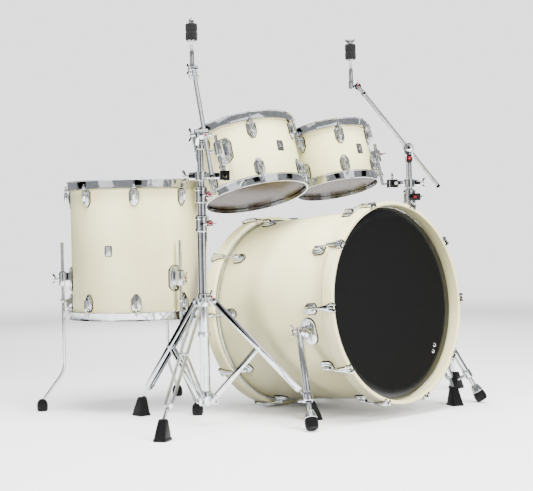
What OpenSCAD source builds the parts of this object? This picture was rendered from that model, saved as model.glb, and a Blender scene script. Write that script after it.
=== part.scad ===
// Acoustic drum kit: bass drum, floor tom and two rack toms on boom cymbal stands.
// Millimetres, +Z up. The bass drum's front looks along -Y.

/* [Show] */
// Which sub-part to show, or "all"

/* [Bass drum] */
// Outer diameter of the bass drum shell
bassDiameter = 558.8; // [450:0.1:620]
// Depth of the bass drum shell
bassDepth = 457; // [350:1:520]
// How far the front is raised by the spurs, degrees
bassTilt = 3.95; // [0:0.05:8]
// Width of each wooden hoop
woodHoopWidth = 41; // [32:0.5:52]
// Distance from the hoop's outer edge to the head
headRecess = 32; // [20:0.5:40]
// Claws on each side of the bass drum
bassClaws = 10; // [6:1:12]
// Half the distance between the two spur feet
spurSpread = 397; // [340:1:460]

/* [Floor tom] */
// Outer diameter of the floor tom shell
floorDiameter = 406.4; // [330:0.1:460]
// Depth of the floor tom shell
floorDepth = 406; // [330:1:460]
// Height of the lower hoop above the floor
floorClearance = 284.5; // [200:0.5:340]
// Lugs on each side of the floor tom
floorLugs = 8; // [6:1:10]
// Distance of the rubber feet from the tom's axis
floorFootRadius = 304; // [260:1:340]

/* [Rack toms] */
// Outer diameter of the larger rack tom shell
tomOneDiameter = 304.8; // [254:0.1:356]
// Depth of the larger rack tom shell
tomOneDepth = 203; // [150:1:260]
// Outer diameter of the smaller rack tom shell
tomTwoDiameter = 254; // [203:0.1:305]
// Depth of the smaller rack tom shell
tomTwoDepth = 178; // [130:1:230]
// Lugs on each side of a rack tom
tomLugs = 6; // [5:1:8]

/* [Stands] */
// Leg angle from vertical on the left stand
leftLegAngle = 42.6; // [25:0.1:48]
// Leg angle from vertical on the right stand
rightLegAngle = 35.4; // [25:0.1:48]
// Radius of the base tube
baseTubeRadius = 14.3; // [12:0.1:16]
// Radius of the middle tube
midTubeRadius = 12.7; // [11:0.1:14]
// Radius of the top tube
topTubeRadius = 9.5; // [8:0.1:11]
// Boom angle from vertical
boomLean = 37.7; // [0:0.1:70]
// Boom length above its tilter
boomUpper = 254; // [150:1:400]
// Boom length below its tilter
boomTail = 162; // [50:1:250]

/* [Hidden] */
$fn = 48;
ivory = [0.94, 0.92, 0.85];
steel = [0.75, 0.76, 0.78];
dark = [0.12, 0.12, 0.13];

// the kit is laid out from the bass drum's front, then moved to the frame's origin
shiftX = 45.1;
shiftY = -507.05;

// bass drum
bassR = bassDiameter / 2;
bassTotal = bassDepth + 2 * headRecess;
bassHoopIn = bassR + 6.1;
bassHoopOut = bassR + 17.6;
bassRise = bassTotal * sin(bassTilt) + bassHoopOut * cos(bassTilt) + 0.3;
bassLugInset = 98;
rodR = 3;
clawSet = 180 / bassClaws;

// spurs: hub and tip of the left one, in the kit's own layout
spurHub = [-313, 112, 262];
spurTip = [-spurSpread, -9, 0];
spurDir = unit(spurTip - spurHub);
spurAxis = unit([-1, 0, -spurDir.x / spurDir.z]);
spurLength = norm(spurTip - spurHub);

// drums with metal hoops
hoopTall = 27;
earThick = 3;
hoopSit = 12.8;
lugInset = 43;
rodRise = 14;
floorAt = [-313, 813.9, floorClearance];
tomOneAt = [-115, 465, 653.8];
tomTwoAt = [251.5, 453.6, 682.4];
tomOneLean = [0.030, 0.294, 1];
tomTwoLean = [0.032, 0.253, 1];
floorLugAt = -131;
floorLegAt = -95.3;
tomOneLugAt = -126.8;
tomTwoLugAt = -122.6;
tomOneBracketAt = -163;
tomTwoBracketAt = -25;
bracketReach = 38;
armR = 5.25;

// stands: pivots, leg and strut geometry
leftAt = [-472, 334, 0];
rightAt = [394, 268, 0];
leftLegs = -154.5;
rightLegs = -114;
pivotOut = 30;
strutFoot = 80;
armLength = 184.7;
legLength = 421;
foldTo = 12;
slotDrop = 13;
leftBoomAt = 57.4;
rightBoomAt = 134.5;
boomR = 5.5;
boomOffset = 14;
fit = 0.1;
leftCollarZ = 573;
leftCollarTwoZ = 655;
leftClampZ = 709;
leftTilterZ = 826;
rightCollarZ = 665;
rightClampZ = 697;
rightTilterZ = 811;
leftJaw = [-424.4, 285.4];
rightJaw = [355.5, 307.3];

function unit(v) = v / norm(v);
function hubHeight(a) = strutFoot + 2 * armLength * cos(a);
function tomFrame(n) = let (z = unit(n), x = unit(cross([0, 1, 0], z)), y = cross(z, x)) [x, y, z];
// a point beside a tom: height h along its axis, reach r at angle a
function tomPoint(at, n, r, a, h) = let (f = tomFrame(n)) at + f[2] * h + f[0] * r * cos(a) + f[1] * r * sin(a);
// height along the tom's axis at which the arm's upright reaches level z
function cornerHeight(at, n, r, a, z) = (z - tomPoint(at, n, r, a, 0).z) / unit(n).z;

module placed() { translate([shiftX, shiftY, 0]) children(); }

// local Z runs along zDir and local X lies as near xDir as it can
module aimed(at, zDir, xDir) {
  z = unit(zDir);
  y = unit(cross(z, xDir));
  x = cross(y, z);
  multmatrix([
    [x.x, y.x, z.x, at.x],
    [x.y, y.y, z.y, at.y],
    [x.z, y.z, z.z, at.z],
    [0, 0, 0, 1]
  ]) children();
}

module inBass() { placed() translate([0, 0, bassRise]) rotate([-bassTilt, 0, 0]) children(); }
module inTom(at, n) { placed() aimed(at, n, tomFrame(n)[0]) children(); }

// ---- shared fittings ----

// long six-sided plate, pointed a little at both ends
module shield(length, width) {
  polygon([
    [-length / 2, -width * 0.27], [-length * 0.30, -width / 2], [length * 0.34, -width / 2],
    [length / 2, -width * 0.2], [length / 2, width * 0.2], [length * 0.34, width / 2],
    [-length * 0.30, width / 2], [-length / 2, width * 0.27]
  ]);
}

// one lug on a drum of radius r; the rod leaves along +Z
module lugBody(r, length, width) {
  difference() {
    union() {
      translate([r - 5, 0, 0]) rotate([0, 90, 0]) linear_extrude(11) shield(length, width);
      translate([r - 2, -5, -length * 0.36]) cube([rodRise, 10, length * 0.72]);
      translate([r + rodRise, 0, -length * 0.4]) cylinder(r = 6.6, h = length * 0.8);
    }
    cylinder(r = r, h = 4 * length, center = true, $fn = 240);
    translate([r + rodRise, 0, -length]) cylinder(r = rodR + 0.15, h = 2 * length);
  }
}

// tension rod with its key head standing on the ear
module tensionRod(r, from, to) {
  translate([r + rodRise, 0, from]) cylinder(r = rodR, h = to - from + 1);
  translate([r + rodRise, 0, to]) {
    cylinder(r = 6, h = 1.2);
    cylinder(r = 4.6, h = 5);
    cylinder(r = 3.4, h = 12);
  }
}

// wing bolt along +Z, its head away from the origin
module wingBolt(reach, span) {
  cylinder(r = 3, h = reach);
  translate([0, 0, reach - 1]) cylinder(r = 5, h = 9);
  translate([-span / 2, -1.6, reach + 3]) cube([span, 3.2, 8]);
  for (s = [-1, 1])
    translate([s * span / 2, 1.6, reach + 9]) rotate([90, 0, 0]) cylinder(r = 6, h = 3.2);
}

module drumShell(r, depth) {
  difference() {
    cylinder(r = r, h = depth);
    translate([0, 0, -1]) cylinder(r = r - 6.5, h = depth + 2);
  }
}

// metal hoop: its open end at z = 0, the ears on the drum's side
module metalHoop(r, count, at) {
  difference() {
    union() {
      rotate_extrude($fn = 96) polygon([
        [r + 6, 0], [r + 11.3, 0], [r + 11.3, 2.3], [r + 8.3, 2.3], [r + 8.3, hoopTall - 2.3],
        [r + 12, hoopTall - 2.3], [r + 12, hoopTall], [r + 3.4, hoopTall], [r + 3.4, hoopTall - 2.3],
        [r + 6, hoopTall - 2.3]
      ]);
      for (i = [0:count - 1]) rotate(at + i * 360 / count)
        translate([r + 7.2, -7.5, hoopTall - earThick]) cube([13.8, 15, earThick + 0.3]);
    }
    for (i = [0:count - 1]) rotate(at + i * 360 / count)
      translate([r + rodRise, 0, hoopTall - 5]) cylinder(r = rodR + 0.4, h = 10);
  }
}

// drum head: film, collar and the ring that the hoop pulls down
module drumHead(r) {
  rotate_extrude($fn = 96) polygon([
    [0, -0.7], [r + 1.1, -0.7], [r + 1.1, 8], [r + 3.1, 8], [r + 3.1, 13], [r + 0.2, 13], [r + 0.2, 0], [0, 0]
  ]);
}

// both ends of a drum with metal hoops, from its lower hoop's face at z = 0
module hoopPair(r, depth, count, at) {
  total = depth + 2 * hoopSit;
  metalHoop(r, count, at);
  translate([0, 0, total]) rotate([180, 0, 0]) metalHoop(r, count, -at);
}
module headPair(r, depth) {
  translate([0, 0, hoopSit]) drumHead(r);
  translate([0, 0, hoopSit + depth]) rotate([180, 0, 0]) drumHead(r);
}
module lugSet(r, depth, count, at) {
  total = depth + 2 * hoopSit;
  ear = total / 2 - hoopTall;
  for (i = [0:count - 1]) rotate(at + i * 360 / count) translate([0, 0, total / 2])
    for (s = [0, 1]) rotate([180 * s, 0, 0]) {
      translate([0, 0, depth / 2 - lugInset]) lugBody(r, 50, 27);
      tensionRod(r, depth / 2 - lugInset - 10, ear + earThick + 0.02);
    }
}

// six-sided bracket plate on a drum of radius r, facing +X, with a block that holds a rod
module rodBracket(r, tall, width, blockTall, rodRadius) {
  difference() {
    union() {
      translate([r - 6, 0, 0]) rotate([0, 90, 0]) linear_extrude(12) shield(tall, width);
      translate([r + 2, -11, -blockTall / 2]) cube([bracketReach - 2, 22, blockTall]);
      translate([r + bracketReach, 0, -blockTall / 2]) cylinder(r = 12, h = blockTall);
      translate([r + bracketReach, 0, 0]) rotate([90, 0, 0]) translate([0, 0, 11]) wingBolt(10, 26);
    }
    cylinder(r = r, h = 3 * tall, center = true, $fn = 240);
    translate([r + bracketReach, 0, -blockTall]) cylinder(r = rodRadius + fit, h = 2 * blockTall);
  }
}

// ---- bass drum ----

module bass_shell() color(ivory)
  inBass() translate([0, headRecess, 0]) rotate([-90, 0, 0]) drumShell(bassR, bassDepth);

module woodHoop() {
  rotate([-90, 0, 0]) rotate_extrude($fn = 96)
    polygon([[bassHoopIn, 0], [bassHoopOut, 0], [bassHoopOut, woodHoopWidth], [bassHoopIn, woodHoopWidth]]);
}
module bass_front_hoop() color(ivory) inBass() woodHoop();
module bass_rear_hoop() color(ivory) inBass() translate([0, bassTotal - woodHoopWidth, 0]) woodHoop();

module bassHead() {
  rotate_extrude($fn = 96) polygon([
    [0, -1], [bassR + 1.3, -1], [bassR + 1.3, 10], [bassR + 6.8, 10], [bassR + 6.8, 19],
    [bassR + 0.2, 19], [bassR + 0.2, 0], [0, 0]
  ]);
}
module bass_front_head() color(dark)
  inBass() translate([0, headRecess, 0]) rotate([-90, 0, 0]) bassHead();
module bass_rear_head() color([0.8, 0.8, 0.8, 0.5])
  inBass() translate([0, bassTotal - headRecess, 0]) rotate([90, 0, 0]) bassHead();

// children stand in a frame with X out of the shell and Z towards the nearer hoop
module aroundBass() {
  for (i = [0:bassClaws - 1]) inBass() rotate([0, clawSet + i * 360 / bassClaws, 0]) {
    rotate([90, -90, 0]) children();
    translate([0, bassTotal, 0]) mirror([0, 1, 0]) rotate([90, -90, 0]) children();
  }
}
module bass_lugs() color(steel) aroundBass() {
  translate([0, 0, -bassLugInset]) lugBody(bassR, 45, 30);
}

// claw hook over the wooden hoop, with its own rod
module bass_claws() color(steel) aroundBass() {
  difference() {
    union() {
      translate([bassHoopOut + 0.4, -9, -woodHoopWidth - 12]) cube([4, 18, woodHoopWidth + 16]);
      translate([bassHoopIn + 2, -9, 0.5]) cube([bassHoopOut - bassHoopIn, 18, 3.5]);
      translate([bassR + rodRise, 0, -woodHoopWidth - 12]) cylinder(r = 8.5, h = 11.4);
    }
    translate([bassR + rodRise, 0, -woodHoopWidth - 20]) cylinder(r = rodR + 0.4, h = 19);
    cylinder(r = bassR + 7.4, h = 300, center = true, $fn = 240);
  }
  translate([bassR + rodRise, 0, -bassLugInset - 8]) cylinder(r = rodR, h = bassLugInset + 8 - woodHoopWidth - 0.8);
}

// children stand in the left spur's frame, then in the right one's
module spurFrame(side) {
  placed() aimed([-side * spurHub.x, spurHub.y, spurHub.z], [side * spurDir.x, -spurDir.y, -spurDir.z],
    [-side * spurAxis.x, spurAxis.y, spurAxis.z]) children();
}
module spurBracket() {
  difference() {
    union() {
      translate([bassR - 6, 0, 0]) rotate([0, 90, 0]) linear_extrude(11) {
        translate([-14, -25]) square([28, 50]);
        for (s = [-1, 1]) translate([s * 14, 0]) circle(r = 25);
      }
      translate([bassR + 2, 0, 0]) rotate([0, 90, 0]) cylinder(r = 19, h = 12);
    }
    cylinder(r = bassR, h = 300, center = true, $fn = 240);
  }
}
module spur_brackets() color(steel) for (side = [-1, 1]) {
  difference() {
    union() {
      inBass() rotate([0, side * 103, 0]) translate([0, 112, 0]) rotate([90, -90, 0]) spurBracket();
      spurFrame(side) rotate([0, 90, 0]) translate([0, 0, -30]) cylinder(r = 17, h = 19.5);
    }
    inBass() rotate([-90, 0, 0]) cylinder(r = bassR, h = 400, $fn = 240);
    spurFrame(side) rotate([0, 90, 0]) translate([0, 0, -40]) cylinder(r = 5 + fit, h = 60);
  }
}
module spurTube(side) {
  spurFrame(side) {
    difference() {
      union() {
        translate([0, 0, -192]) cylinder(r = 10, h = 206);
        translate([0, 0, -212]) cylinder(r = 12.5, h = 26);
        rotate([0, 90, 0]) translate([0, 0, -10]) cylinder(r = 17, h = 14);
        rotate([0, 90, 0]) translate([0, 0, -26]) cylinder(r = 5, h = 20);
        rotate([0, 90, 0]) translate([0, 0, 2]) wingBolt(12, 28);
        translate([0, 0, -200]) rotate([side * -90, 0, 0]) translate([0, 0, 10]) wingBolt(8, 20);
      }
      translate([0, 0, -260]) cylinder(r = 6.5 + fit, h = 262);
    }
  }
}
module spur_tube_left() color(steel) spurTube(-1);
module spur_tube_right() color(steel) spurTube(1);
module spurFoot(side) {
  spurFrame(side) translate([0, 0, -spurLength]) {
    translate([0, 0, 46]) cylinder(r = 6.5, h = 110);
    translate([0, 0, 38]) cylinder(r1 = 17, r2 = 11, h = 24);
    translate([0, 0, 8.2]) cylinder(r1 = 14, r2 = 19, h = 30);
  }
}
module spur_foot_left() color(dark) spurFoot(-1);
module spur_foot_right() color(dark) spurFoot(1);

// ---- floor tom ----

floorR = floorDiameter / 2;
module inFloor() { placed() translate(floorAt) children(); }
module floor_tom_shell() color(ivory) inFloor() translate([0, 0, hoopSit]) drumShell(floorR, floorDepth);
module floor_tom_hoops() color(steel) inFloor() hoopPair(floorR, floorDepth, floorLugs, floorLugAt);
module floor_tom_heads() color([0.8, 0.8, 0.8, 0.5]) inFloor() headPair(floorR, floorDepth);
module floor_tom_lugs() color(steel) inFloor() lugSet(floorR, floorDepth, floorLugs, floorLugAt);
floorLegOut = 29;
floorBracketUp = 412 - floorClearance;
module floor_tom_brackets() color(steel) inFloor()
  for (i = [0:2]) rotate(floorLegAt + i * 120) translate([0, 0, floorBracketUp]) difference() {
    union() {
      translate([floorR - 6, 0, 0]) rotate([0, 90, 0]) linear_extrude(11) shield(76, 44);
      translate([floorR + 3, -10, -22]) cube([floorLegOut - 3, 20, 44]);
      translate([floorR + floorLegOut, 0, -22]) cylinder(r = 12, h = 44);
      translate([floorR + floorLegOut, 0, 0]) rotate([0, 90, 0]) translate([0, 0, 10]) wingBolt(8, 26);
    }
    cylinder(r = floorR, h = 300, center = true, $fn = 240);
    translate([floorR + floorLegOut, 0, -60]) cylinder(r = 5 + fit, h = 120);
  }
module floorLeg(i) {
  out = floorFootRadius - floorR - floorLegOut;
  placed() translate([floorAt.x, floorAt.y, 0]) rotate(floorLegAt + i * 120) translate([floorR + floorLegOut, 0, 0]) {
    translate([0, 0, 126]) cylinder(r = 5, h = 402);
    translate([0, 0, 126]) sphere(r = 5.6);
    aimed([0, 0, 126], [out, 0, -96], [0, 1, 0]) cylinder(r = 5, h = norm([out, 96]));
    translate([out, 0, 0]) cylinder(r1 = 13, r2 = 17, h = 12);
    translate([out, 0, 12]) cylinder(r = 17, h = 12);
    translate([out, 0, 24]) cylinder(r1 = 17, r2 = 8, h = 14);
  }
}
module floor_tom_leg_a() color(steel) floorLeg(0);
module floor_tom_leg_b() color(steel) floorLeg(1);
module floor_tom_leg_c() color(steel) floorLeg(2);

// ---- rack toms ----

tomOneR = tomOneDiameter / 2;
tomTwoR = tomTwoDiameter / 2;
module inOne() { inTom(tomOneAt, tomOneLean) children(); }
module inTwo() { inTom(tomTwoAt, tomTwoLean) children(); }
module tom_one_shell() color(ivory) inOne() translate([0, 0, hoopSit]) drumShell(tomOneR, tomOneDepth);
module tom_one_hoops() color(steel) inOne() hoopPair(tomOneR, tomOneDepth, tomLugs, tomOneLugAt);
module tom_one_heads() color([0.8, 0.8, 0.8, 0.5]) inOne() headPair(tomOneR, tomOneDepth);
module tom_one_lugs() color(steel) inOne() lugSet(tomOneR, tomOneDepth, tomLugs, tomOneLugAt);
module tom_one_bracket() color(steel) inOne() rotate(tomOneBracketAt) translate([0, 0, 128])
  rodBracket(tomOneR, 76, 50, 40, armR);
module tom_two_shell() color(ivory) inTwo() translate([0, 0, hoopSit]) drumShell(tomTwoR, tomTwoDepth);
module tom_two_hoops() color(steel) inTwo() hoopPair(tomTwoR, tomTwoDepth, tomLugs, tomTwoLugAt);
module tom_two_heads() color([0.8, 0.8, 0.8, 0.5]) inTwo() headPair(tomTwoR, tomTwoDepth);
module tom_two_lugs() color(steel) inTwo() lugSet(tomTwoR, tomTwoDepth, tomLugs, tomTwoLugAt);
module tom_two_bracket() color(steel) inTwo() rotate(tomTwoBracketAt) translate([0, 0, 100])
  rodBracket(tomTwoR, 76, 50, 40, armR);

// ---- stands ----

// plate with round ends, from the origin to [length, 0], pierced at both ends
module strip(length, width, thick, bore) {
  linear_extrude(thick, center = true) difference() {
    union() {
      translate([0, -width / 2]) square([length, width]);
      circle(r = width / 2);
      translate([length, 0]) circle(r = width / 2);
    }
    circle(r = bore);
    translate([length, 0]) circle(r = bore);
  }
}
module inStand(at, turn) { placed() translate(at) rotate(turn) children(); }

module collarBody(r, z, tall) {
  translate([0, 0, z - tall / 2]) {
    cylinder(r = r, h = tall);
    translate([r - 3, -7, tall * 0.25]) cube([13, 14, tall * 0.5]);
    translate([r + 4, 0, tall / 2]) rotate([90, 0, 0]) translate([0, 0, 6]) wingBolt(8, 24);
  }
}

// base tube with its fixed lower collar, memory ring and height collar
module standBase(at, legs, top, bore, ringZ, wingTurn) {
  inStand(at, legs) {
    difference() {
      union() {
        translate([0, 0, 58]) cylinder(r = baseTubeRadius, h = top - 58);
        translate([0, 0, 56]) cylinder(r = 18, h = 42);
        for (i = [0:2]) rotate(i * 120) rotate([90, 0, 0]) linear_extrude(9.4, center = true)
          difference() {
            translate([15, 58]) square([22, 30]);
            translate([pivotOut, strutFoot]) circle(r = 3.4);
            translate([pivotOut, strutFoot - slotDrop]) circle(r = 3.4);
            translate([pivotOut - 3.4, strutFoot - slotDrop]) square([6.8, slotDrop]);
          }
        if (ringZ > 0) translate([0, 0, ringZ - 7]) cylinder(r = 19, h = 14);
        rotate(wingTurn) collarBody(20, top, 44);
      }
      translate([0, 0, 70]) cylinder(r = baseTubeRadius - 1.2, h = top - 76);
      translate([0, 0, 80]) cylinder(r = bore, h = top);
    }
  }
}
module standHub(at, legs, angle, wingTurn) {
  z = hubHeight(angle);
  inStand(at, legs) {
    difference() {
      union() {
        translate([0, 0, z - 14]) cylinder(r = 20, h = 36);
        for (i = [0:2]) rotate(i * 120) {
          translate([14, -7.5, z - 9]) cube([pivotOut - 14 + 6, 15, 18]);
          translate([pivotOut, 12.5, z]) rotate([90, 0, 0]) cylinder(r = 3, h = 25);
          for (s = [-1, 1]) translate([pivotOut, s * 12 + 1, z]) rotate([90, 0, 0]) cylinder(r = 5, h = 2);
        }
        rotate(wingTurn) translate([18, 0, z + 14]) rotate([0, 90, 0]) wingBolt(10, 28);
      }
      translate([0, 0, z - 40]) cylinder(r = baseTubeRadius + fit, h = 90);
    }
  }
}
module legStrips(angle) {
  for (s = [-1, 1]) translate([pivotOut, s * 9.25, hubHeight(angle)])
    rotate([90, 0, 0]) rotate([0, 0, angle - 90]) difference() {
      strip(legLength, 17, 2.5, 3.05);
      translate([armLength, 0, 0]) cylinder(r = 3.05, h = 9, center = true);
    }
}
module standLeg(at, legs, angle, i) {
  out = pivotOut + legLength * sin(angle);
  inStand(at, legs + i * 120) {
    legStrips(angle);
    difference() {
      translate([out - 3, 0, 0]) union() {
        cylinder(r = 22, h = 14);
        translate([0, 0, 14]) cylinder(r1 = 22, r2 = 15, h = 44);
      }
      legStrips(angle);
    }
  }
}
module standStrut(at, legs, angle, i) {
  z = hubHeight(angle);
  inStand(at, legs + i * 120) translate([pivotOut + armLength * sin(angle), 0, z - armLength * cos(angle)]) {
    for (s = [-1, 1]) translate([0, s * 6.5, 0])
      rotate([90, 0, 0]) rotate([0, 0, angle + 180 + (90 - 2 * angle)]) strip(armLength, 14, 2.4, 1.2);
    rotate([90, 0, 0]) cylinder(r = 3, h = 24, center = true);
    for (s = [-1, 1]) translate([0, s * 12 + 1, 0]) rotate([90, 0, 0]) cylinder(r = 5, h = 2);
    translate([-armLength * sin(angle), 0, -armLength * cos(angle)])
      rotate([90, 0, 0]) cylinder(r = 3, h = 17, center = true);
  }
}

// top tube carrying the fixed half of the boom tilter
module topTube(at, from, z, turn) {
  inStand(at, turn) {
    translate([0, 0, from]) difference() {
      cylinder(r = topTubeRadius, h = z - 40 - from);
      translate([0, 0, -1]) cylinder(r = topTubeRadius - 1.6, h = z - 60 - from);
    }
    translate([0, 0, z - 41]) cylinder(r = 13, h = 20);
    difference() {
      union() {
        translate([-16, -13, z - 30]) cube([10, 26, 30]);
        translate([-16, 0, z]) rotate([0, 90, 0]) cylinder(r = 17, h = 10);
      }
      translate([-20, 0, z]) rotate([0, 90, 0]) cylinder(r = 4 + fit, h = 20);
    }
  }
}
// turning half of the boom tilter, with its bolt, wing and the boom's clamp
module boomTilter(at, z, turn) {
  inStand(at, turn) translate([0, 0, z]) {
    difference() {
      union() {
        translate([-5.6, 0, 0]) rotate([0, 90, 0]) cylinder(r = 17, h = 12);
        translate([-18, 0, 0]) rotate([0, 90, 0]) cylinder(r = 4, h = 14);
        translate([-16.4, 0, 0]) rotate([0, -90, 0]) wingBolt(2, 30);
        rotate([-boomLean, 0, 0]) translate([4, -10, -16]) cube([20, 20, 32]);
        rotate([-boomLean, 0, 0]) translate([24, 0, 0]) rotate([0, 90, 0]) cylinder(r = 7, h = 9);
      }
      rotate([-boomLean, 0, 0]) translate([boomOffset, 0, -60]) cylinder(r = boomR + fit, h = 120);
    }
  }
}
module boomRod(at, z, turn) {
  inStand(at, turn) translate([0, 0, z]) rotate([-boomLean, 0, 0]) translate([boomOffset, 0, 0]) {
    translate([0, 0, -boomTail]) cylinder(r = boomR, h = boomTail + boomUpper - 5);
    translate([-4, -4, boomUpper - 10]) cube([8, 8, 12]);
    translate([0, 0, boomUpper - 30]) cylinder(r = 8.5, h = 14);
    difference() {
      translate([-4, 0, boomUpper + 8]) rotate([0, 90, 0]) cylinder(r = 11, h = 8);
      translate([-9, 0, boomUpper + 8]) rotate([0, 90, 0]) cylinder(r = 3 + fit, h = 20);
    }
  }
}
// cymbal post: tilter half, threaded rod, felts and wing nut
module cymbalPost(at, z, turn) {
  inStand(at, turn) translate([0, 0, z]) rotate([-boomLean, 0, 0]) translate([boomOffset, 0, boomUpper + 8]) rotate([boomLean, 0, 0]) {
    translate([4.4, 0, 0]) rotate([0, 90, 0]) cylinder(r = 11, h = 8);
    translate([-8, 0, 0]) rotate([0, 90, 0]) cylinder(r = 3, h = 14);
    translate([-4.4, 0, 0]) rotate([0, -90, 0]) wingBolt(2, 22);
    translate([4.4, 3, -6]) cube([8, 21, 12]);
    translate([0, 22, -8]) cylinder(r = 8, h = 26);
    translate([0, 22, 10]) cylinder(r = 6.5, h = 48);
    translate([0, 22, 0]) cylinder(r = 4, h = 154);
    translate([0, 22, 86]) cylinder(r = 16, h = 3);
    difference() {
      union() {
        translate([0, 22, 89.2]) cylinder(r = 18, h = 24);
        translate([0, 22, 113.6]) cylinder(r = 18, h = 24);
      }
      translate([0, 22, 80]) cylinder(r = 4.4, h = 80);
    }
    difference() {
      union() {
        translate([0, 22, 138]) cylinder(r = 8, h = 12);
        translate([-17, 20.4, 144]) cube([34, 3.2, 11]);
      }
      translate([0, 22, 130]) cylinder(r = 4.1, h = 40);
    }
  }
}
// two-jaw clamp: one jaw round the top tube, the other round the tom arm
module standClamp(at, z, jaw, corner) {
  away = [jaw.x - at.x, jaw.y - at.y];
  reach = norm(away);
  turn = atan2(away.y, away.x);
  placed() difference() {
    union() {
      translate([at.x, at.y, z]) rotate(turn) {
        translate([0, 0, -13]) cylinder(r = 18, h = 26);
        translate([8, -9, -9]) cube([reach - 16, 18, 18]);
        translate([-34, -8, -11]) cube([24, 16, 22]);
        translate([-33, 0, 0]) rotate([0, -90, 0]) wingBolt(6, 26);
      }
      aimed([jaw.x, jaw.y, z], [corner.x - jaw.x, corner.y - jaw.y, 0], [0, 0, 1]) translate([0, 0, -15]) cylinder(r = 14, h = 30);
      translate([jaw.x, jaw.y, z + 12]) rotate(turn) wingBolt(8, 26);
    }
    translate([at.x, at.y, z - 40]) cylinder(r = topTubeRadius + fit, h = 80);
    aimed([jaw.x, jaw.y, z], [corner.x - jaw.x, corner.y - jaw.y, 0], [0, 0, 1]) translate([0, 0, -60]) cylinder(r = armR + fit, h = 120);
  }
}
// bent rod: level through the clamp's jaw, then up beside the tom
module tomArm(jaw, z, tomAt, lean, shellR, angle, top) {
  h = cornerHeight(tomAt, lean, shellR + bracketReach, angle, z);
  corner = tomPoint(tomAt, lean, shellR + bracketReach, angle, h);
  run = [corner.x - jaw.x, corner.y - jaw.y, 0];
  placed() {
    aimed([jaw.x, jaw.y, z], run, [0, 0, 1]) translate([0, 0, -34]) cylinder(r = armR, h = norm(run) + 34);
    translate(corner) sphere(r = armR + 0.6);
    aimed(corner, lean, [1, 0, 0]) cylinder(r = armR, h = top - h);
  }
}
oneCorner = tomPoint(tomOneAt, tomOneLean, tomOneR + bracketReach, tomOneBracketAt,
  cornerHeight(tomOneAt, tomOneLean, tomOneR + bracketReach, tomOneBracketAt, leftClampZ));
twoCorner = tomPoint(tomTwoAt, tomTwoLean, tomTwoR + bracketReach, tomTwoBracketAt,
  cornerHeight(tomTwoAt, tomTwoLean, tomTwoR + bracketReach, tomTwoBracketAt, rightClampZ));

module left_base() color(steel) standBase(leftAt, leftLegs, leftCollarZ, midTubeRadius + fit, 259, -40 - leftLegs);
module left_hub() color(steel) standHub(leftAt, leftLegs, leftLegAngle, 60);
module left_leg_a() color(steel) standLeg(leftAt, leftLegs, leftLegAngle, 0);
module left_leg_b() color(steel) standLeg(leftAt, leftLegs, leftLegAngle, 1);
module left_leg_c() color(steel) standLeg(leftAt, leftLegs, leftLegAngle, 2);
module left_strut_a() color(steel) standStrut(leftAt, leftLegs, leftLegAngle, 0);
module left_strut_b() color(steel) standStrut(leftAt, leftLegs, leftLegAngle, 1);
module left_strut_c() color(steel) standStrut(leftAt, leftLegs, leftLegAngle, 2);
module left_mid_tube() color(steel) {
  inStand(leftAt, -40) {
    difference() {
      union() {
        translate([0, 0, 300]) cylinder(r = midTubeRadius, h = leftCollarTwoZ - 300);
        collarBody(18, leftCollarTwoZ, 44);
      }
      translate([0, 0, 299]) cylinder(r = midTubeRadius - 1.3, h = leftCollarTwoZ - 310);
      translate([0, 0, 310]) cylinder(r = topTubeRadius + fit, h = 500);
    }
  }
}
module left_top_tube() color(steel) topTube(leftAt, 460, leftTilterZ, leftBoomAt - 90);
module left_clamp() color(steel) standClamp(leftAt, leftClampZ, leftJaw, oneCorner);
module left_arm() color(steel) tomArm(leftJaw, leftClampZ, tomOneAt, tomOneLean, tomOneR, tomOneBracketAt, 172);
module left_tilter() color(steel) boomTilter(leftAt, leftTilterZ, leftBoomAt - 90);
module left_boom() color(steel) boomRod(leftAt, leftTilterZ, leftBoomAt - 90);
module left_post() color(steel) cymbalPost(leftAt, leftTilterZ, leftBoomAt - 90);

module right_base() color(steel) standBase(rightAt, rightLegs, rightCollarZ - 12, topTubeRadius + fit, 0, -40 - rightLegs);
module right_hub() color(steel) standHub(rightAt, rightLegs, rightLegAngle, 60);
module right_leg_a() color(steel) standLeg(rightAt, rightLegs, rightLegAngle, 0);
module right_leg_b() color(steel) standLeg(rightAt, rightLegs, rightLegAngle, 1);
module right_leg_c() color(steel) standLeg(rightAt, rightLegs, rightLegAngle, 2);
module right_strut_a() color(steel) standStrut(rightAt, rightLegs, rightLegAngle, 0);
module right_strut_b() color(steel) standStrut(rightAt, rightLegs, rightLegAngle, 1);
module right_strut_c() color(steel) standStrut(rightAt, rightLegs, rightLegAngle, 2);
module right_top_tube() color(steel) topTube(rightAt, 420, rightTilterZ, rightBoomAt - 90);
module right_clamp() color(steel) standClamp(rightAt, rightClampZ, rightJaw, twoCorner);
module right_arm() color(steel) tomArm(rightJaw, rightClampZ, tomTwoAt, tomTwoLean, tomTwoR, tomTwoBracketAt, 144);
module right_tilter() color(steel) boomTilter(rightAt, rightTilterZ, rightBoomAt - 90);
module right_boom() color(steel) boomRod(rightAt, rightTilterZ, rightBoomAt - 90);
module right_post() color(steel) cymbalPost(rightAt, rightTilterZ, rightBoomAt - 90);

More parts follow.
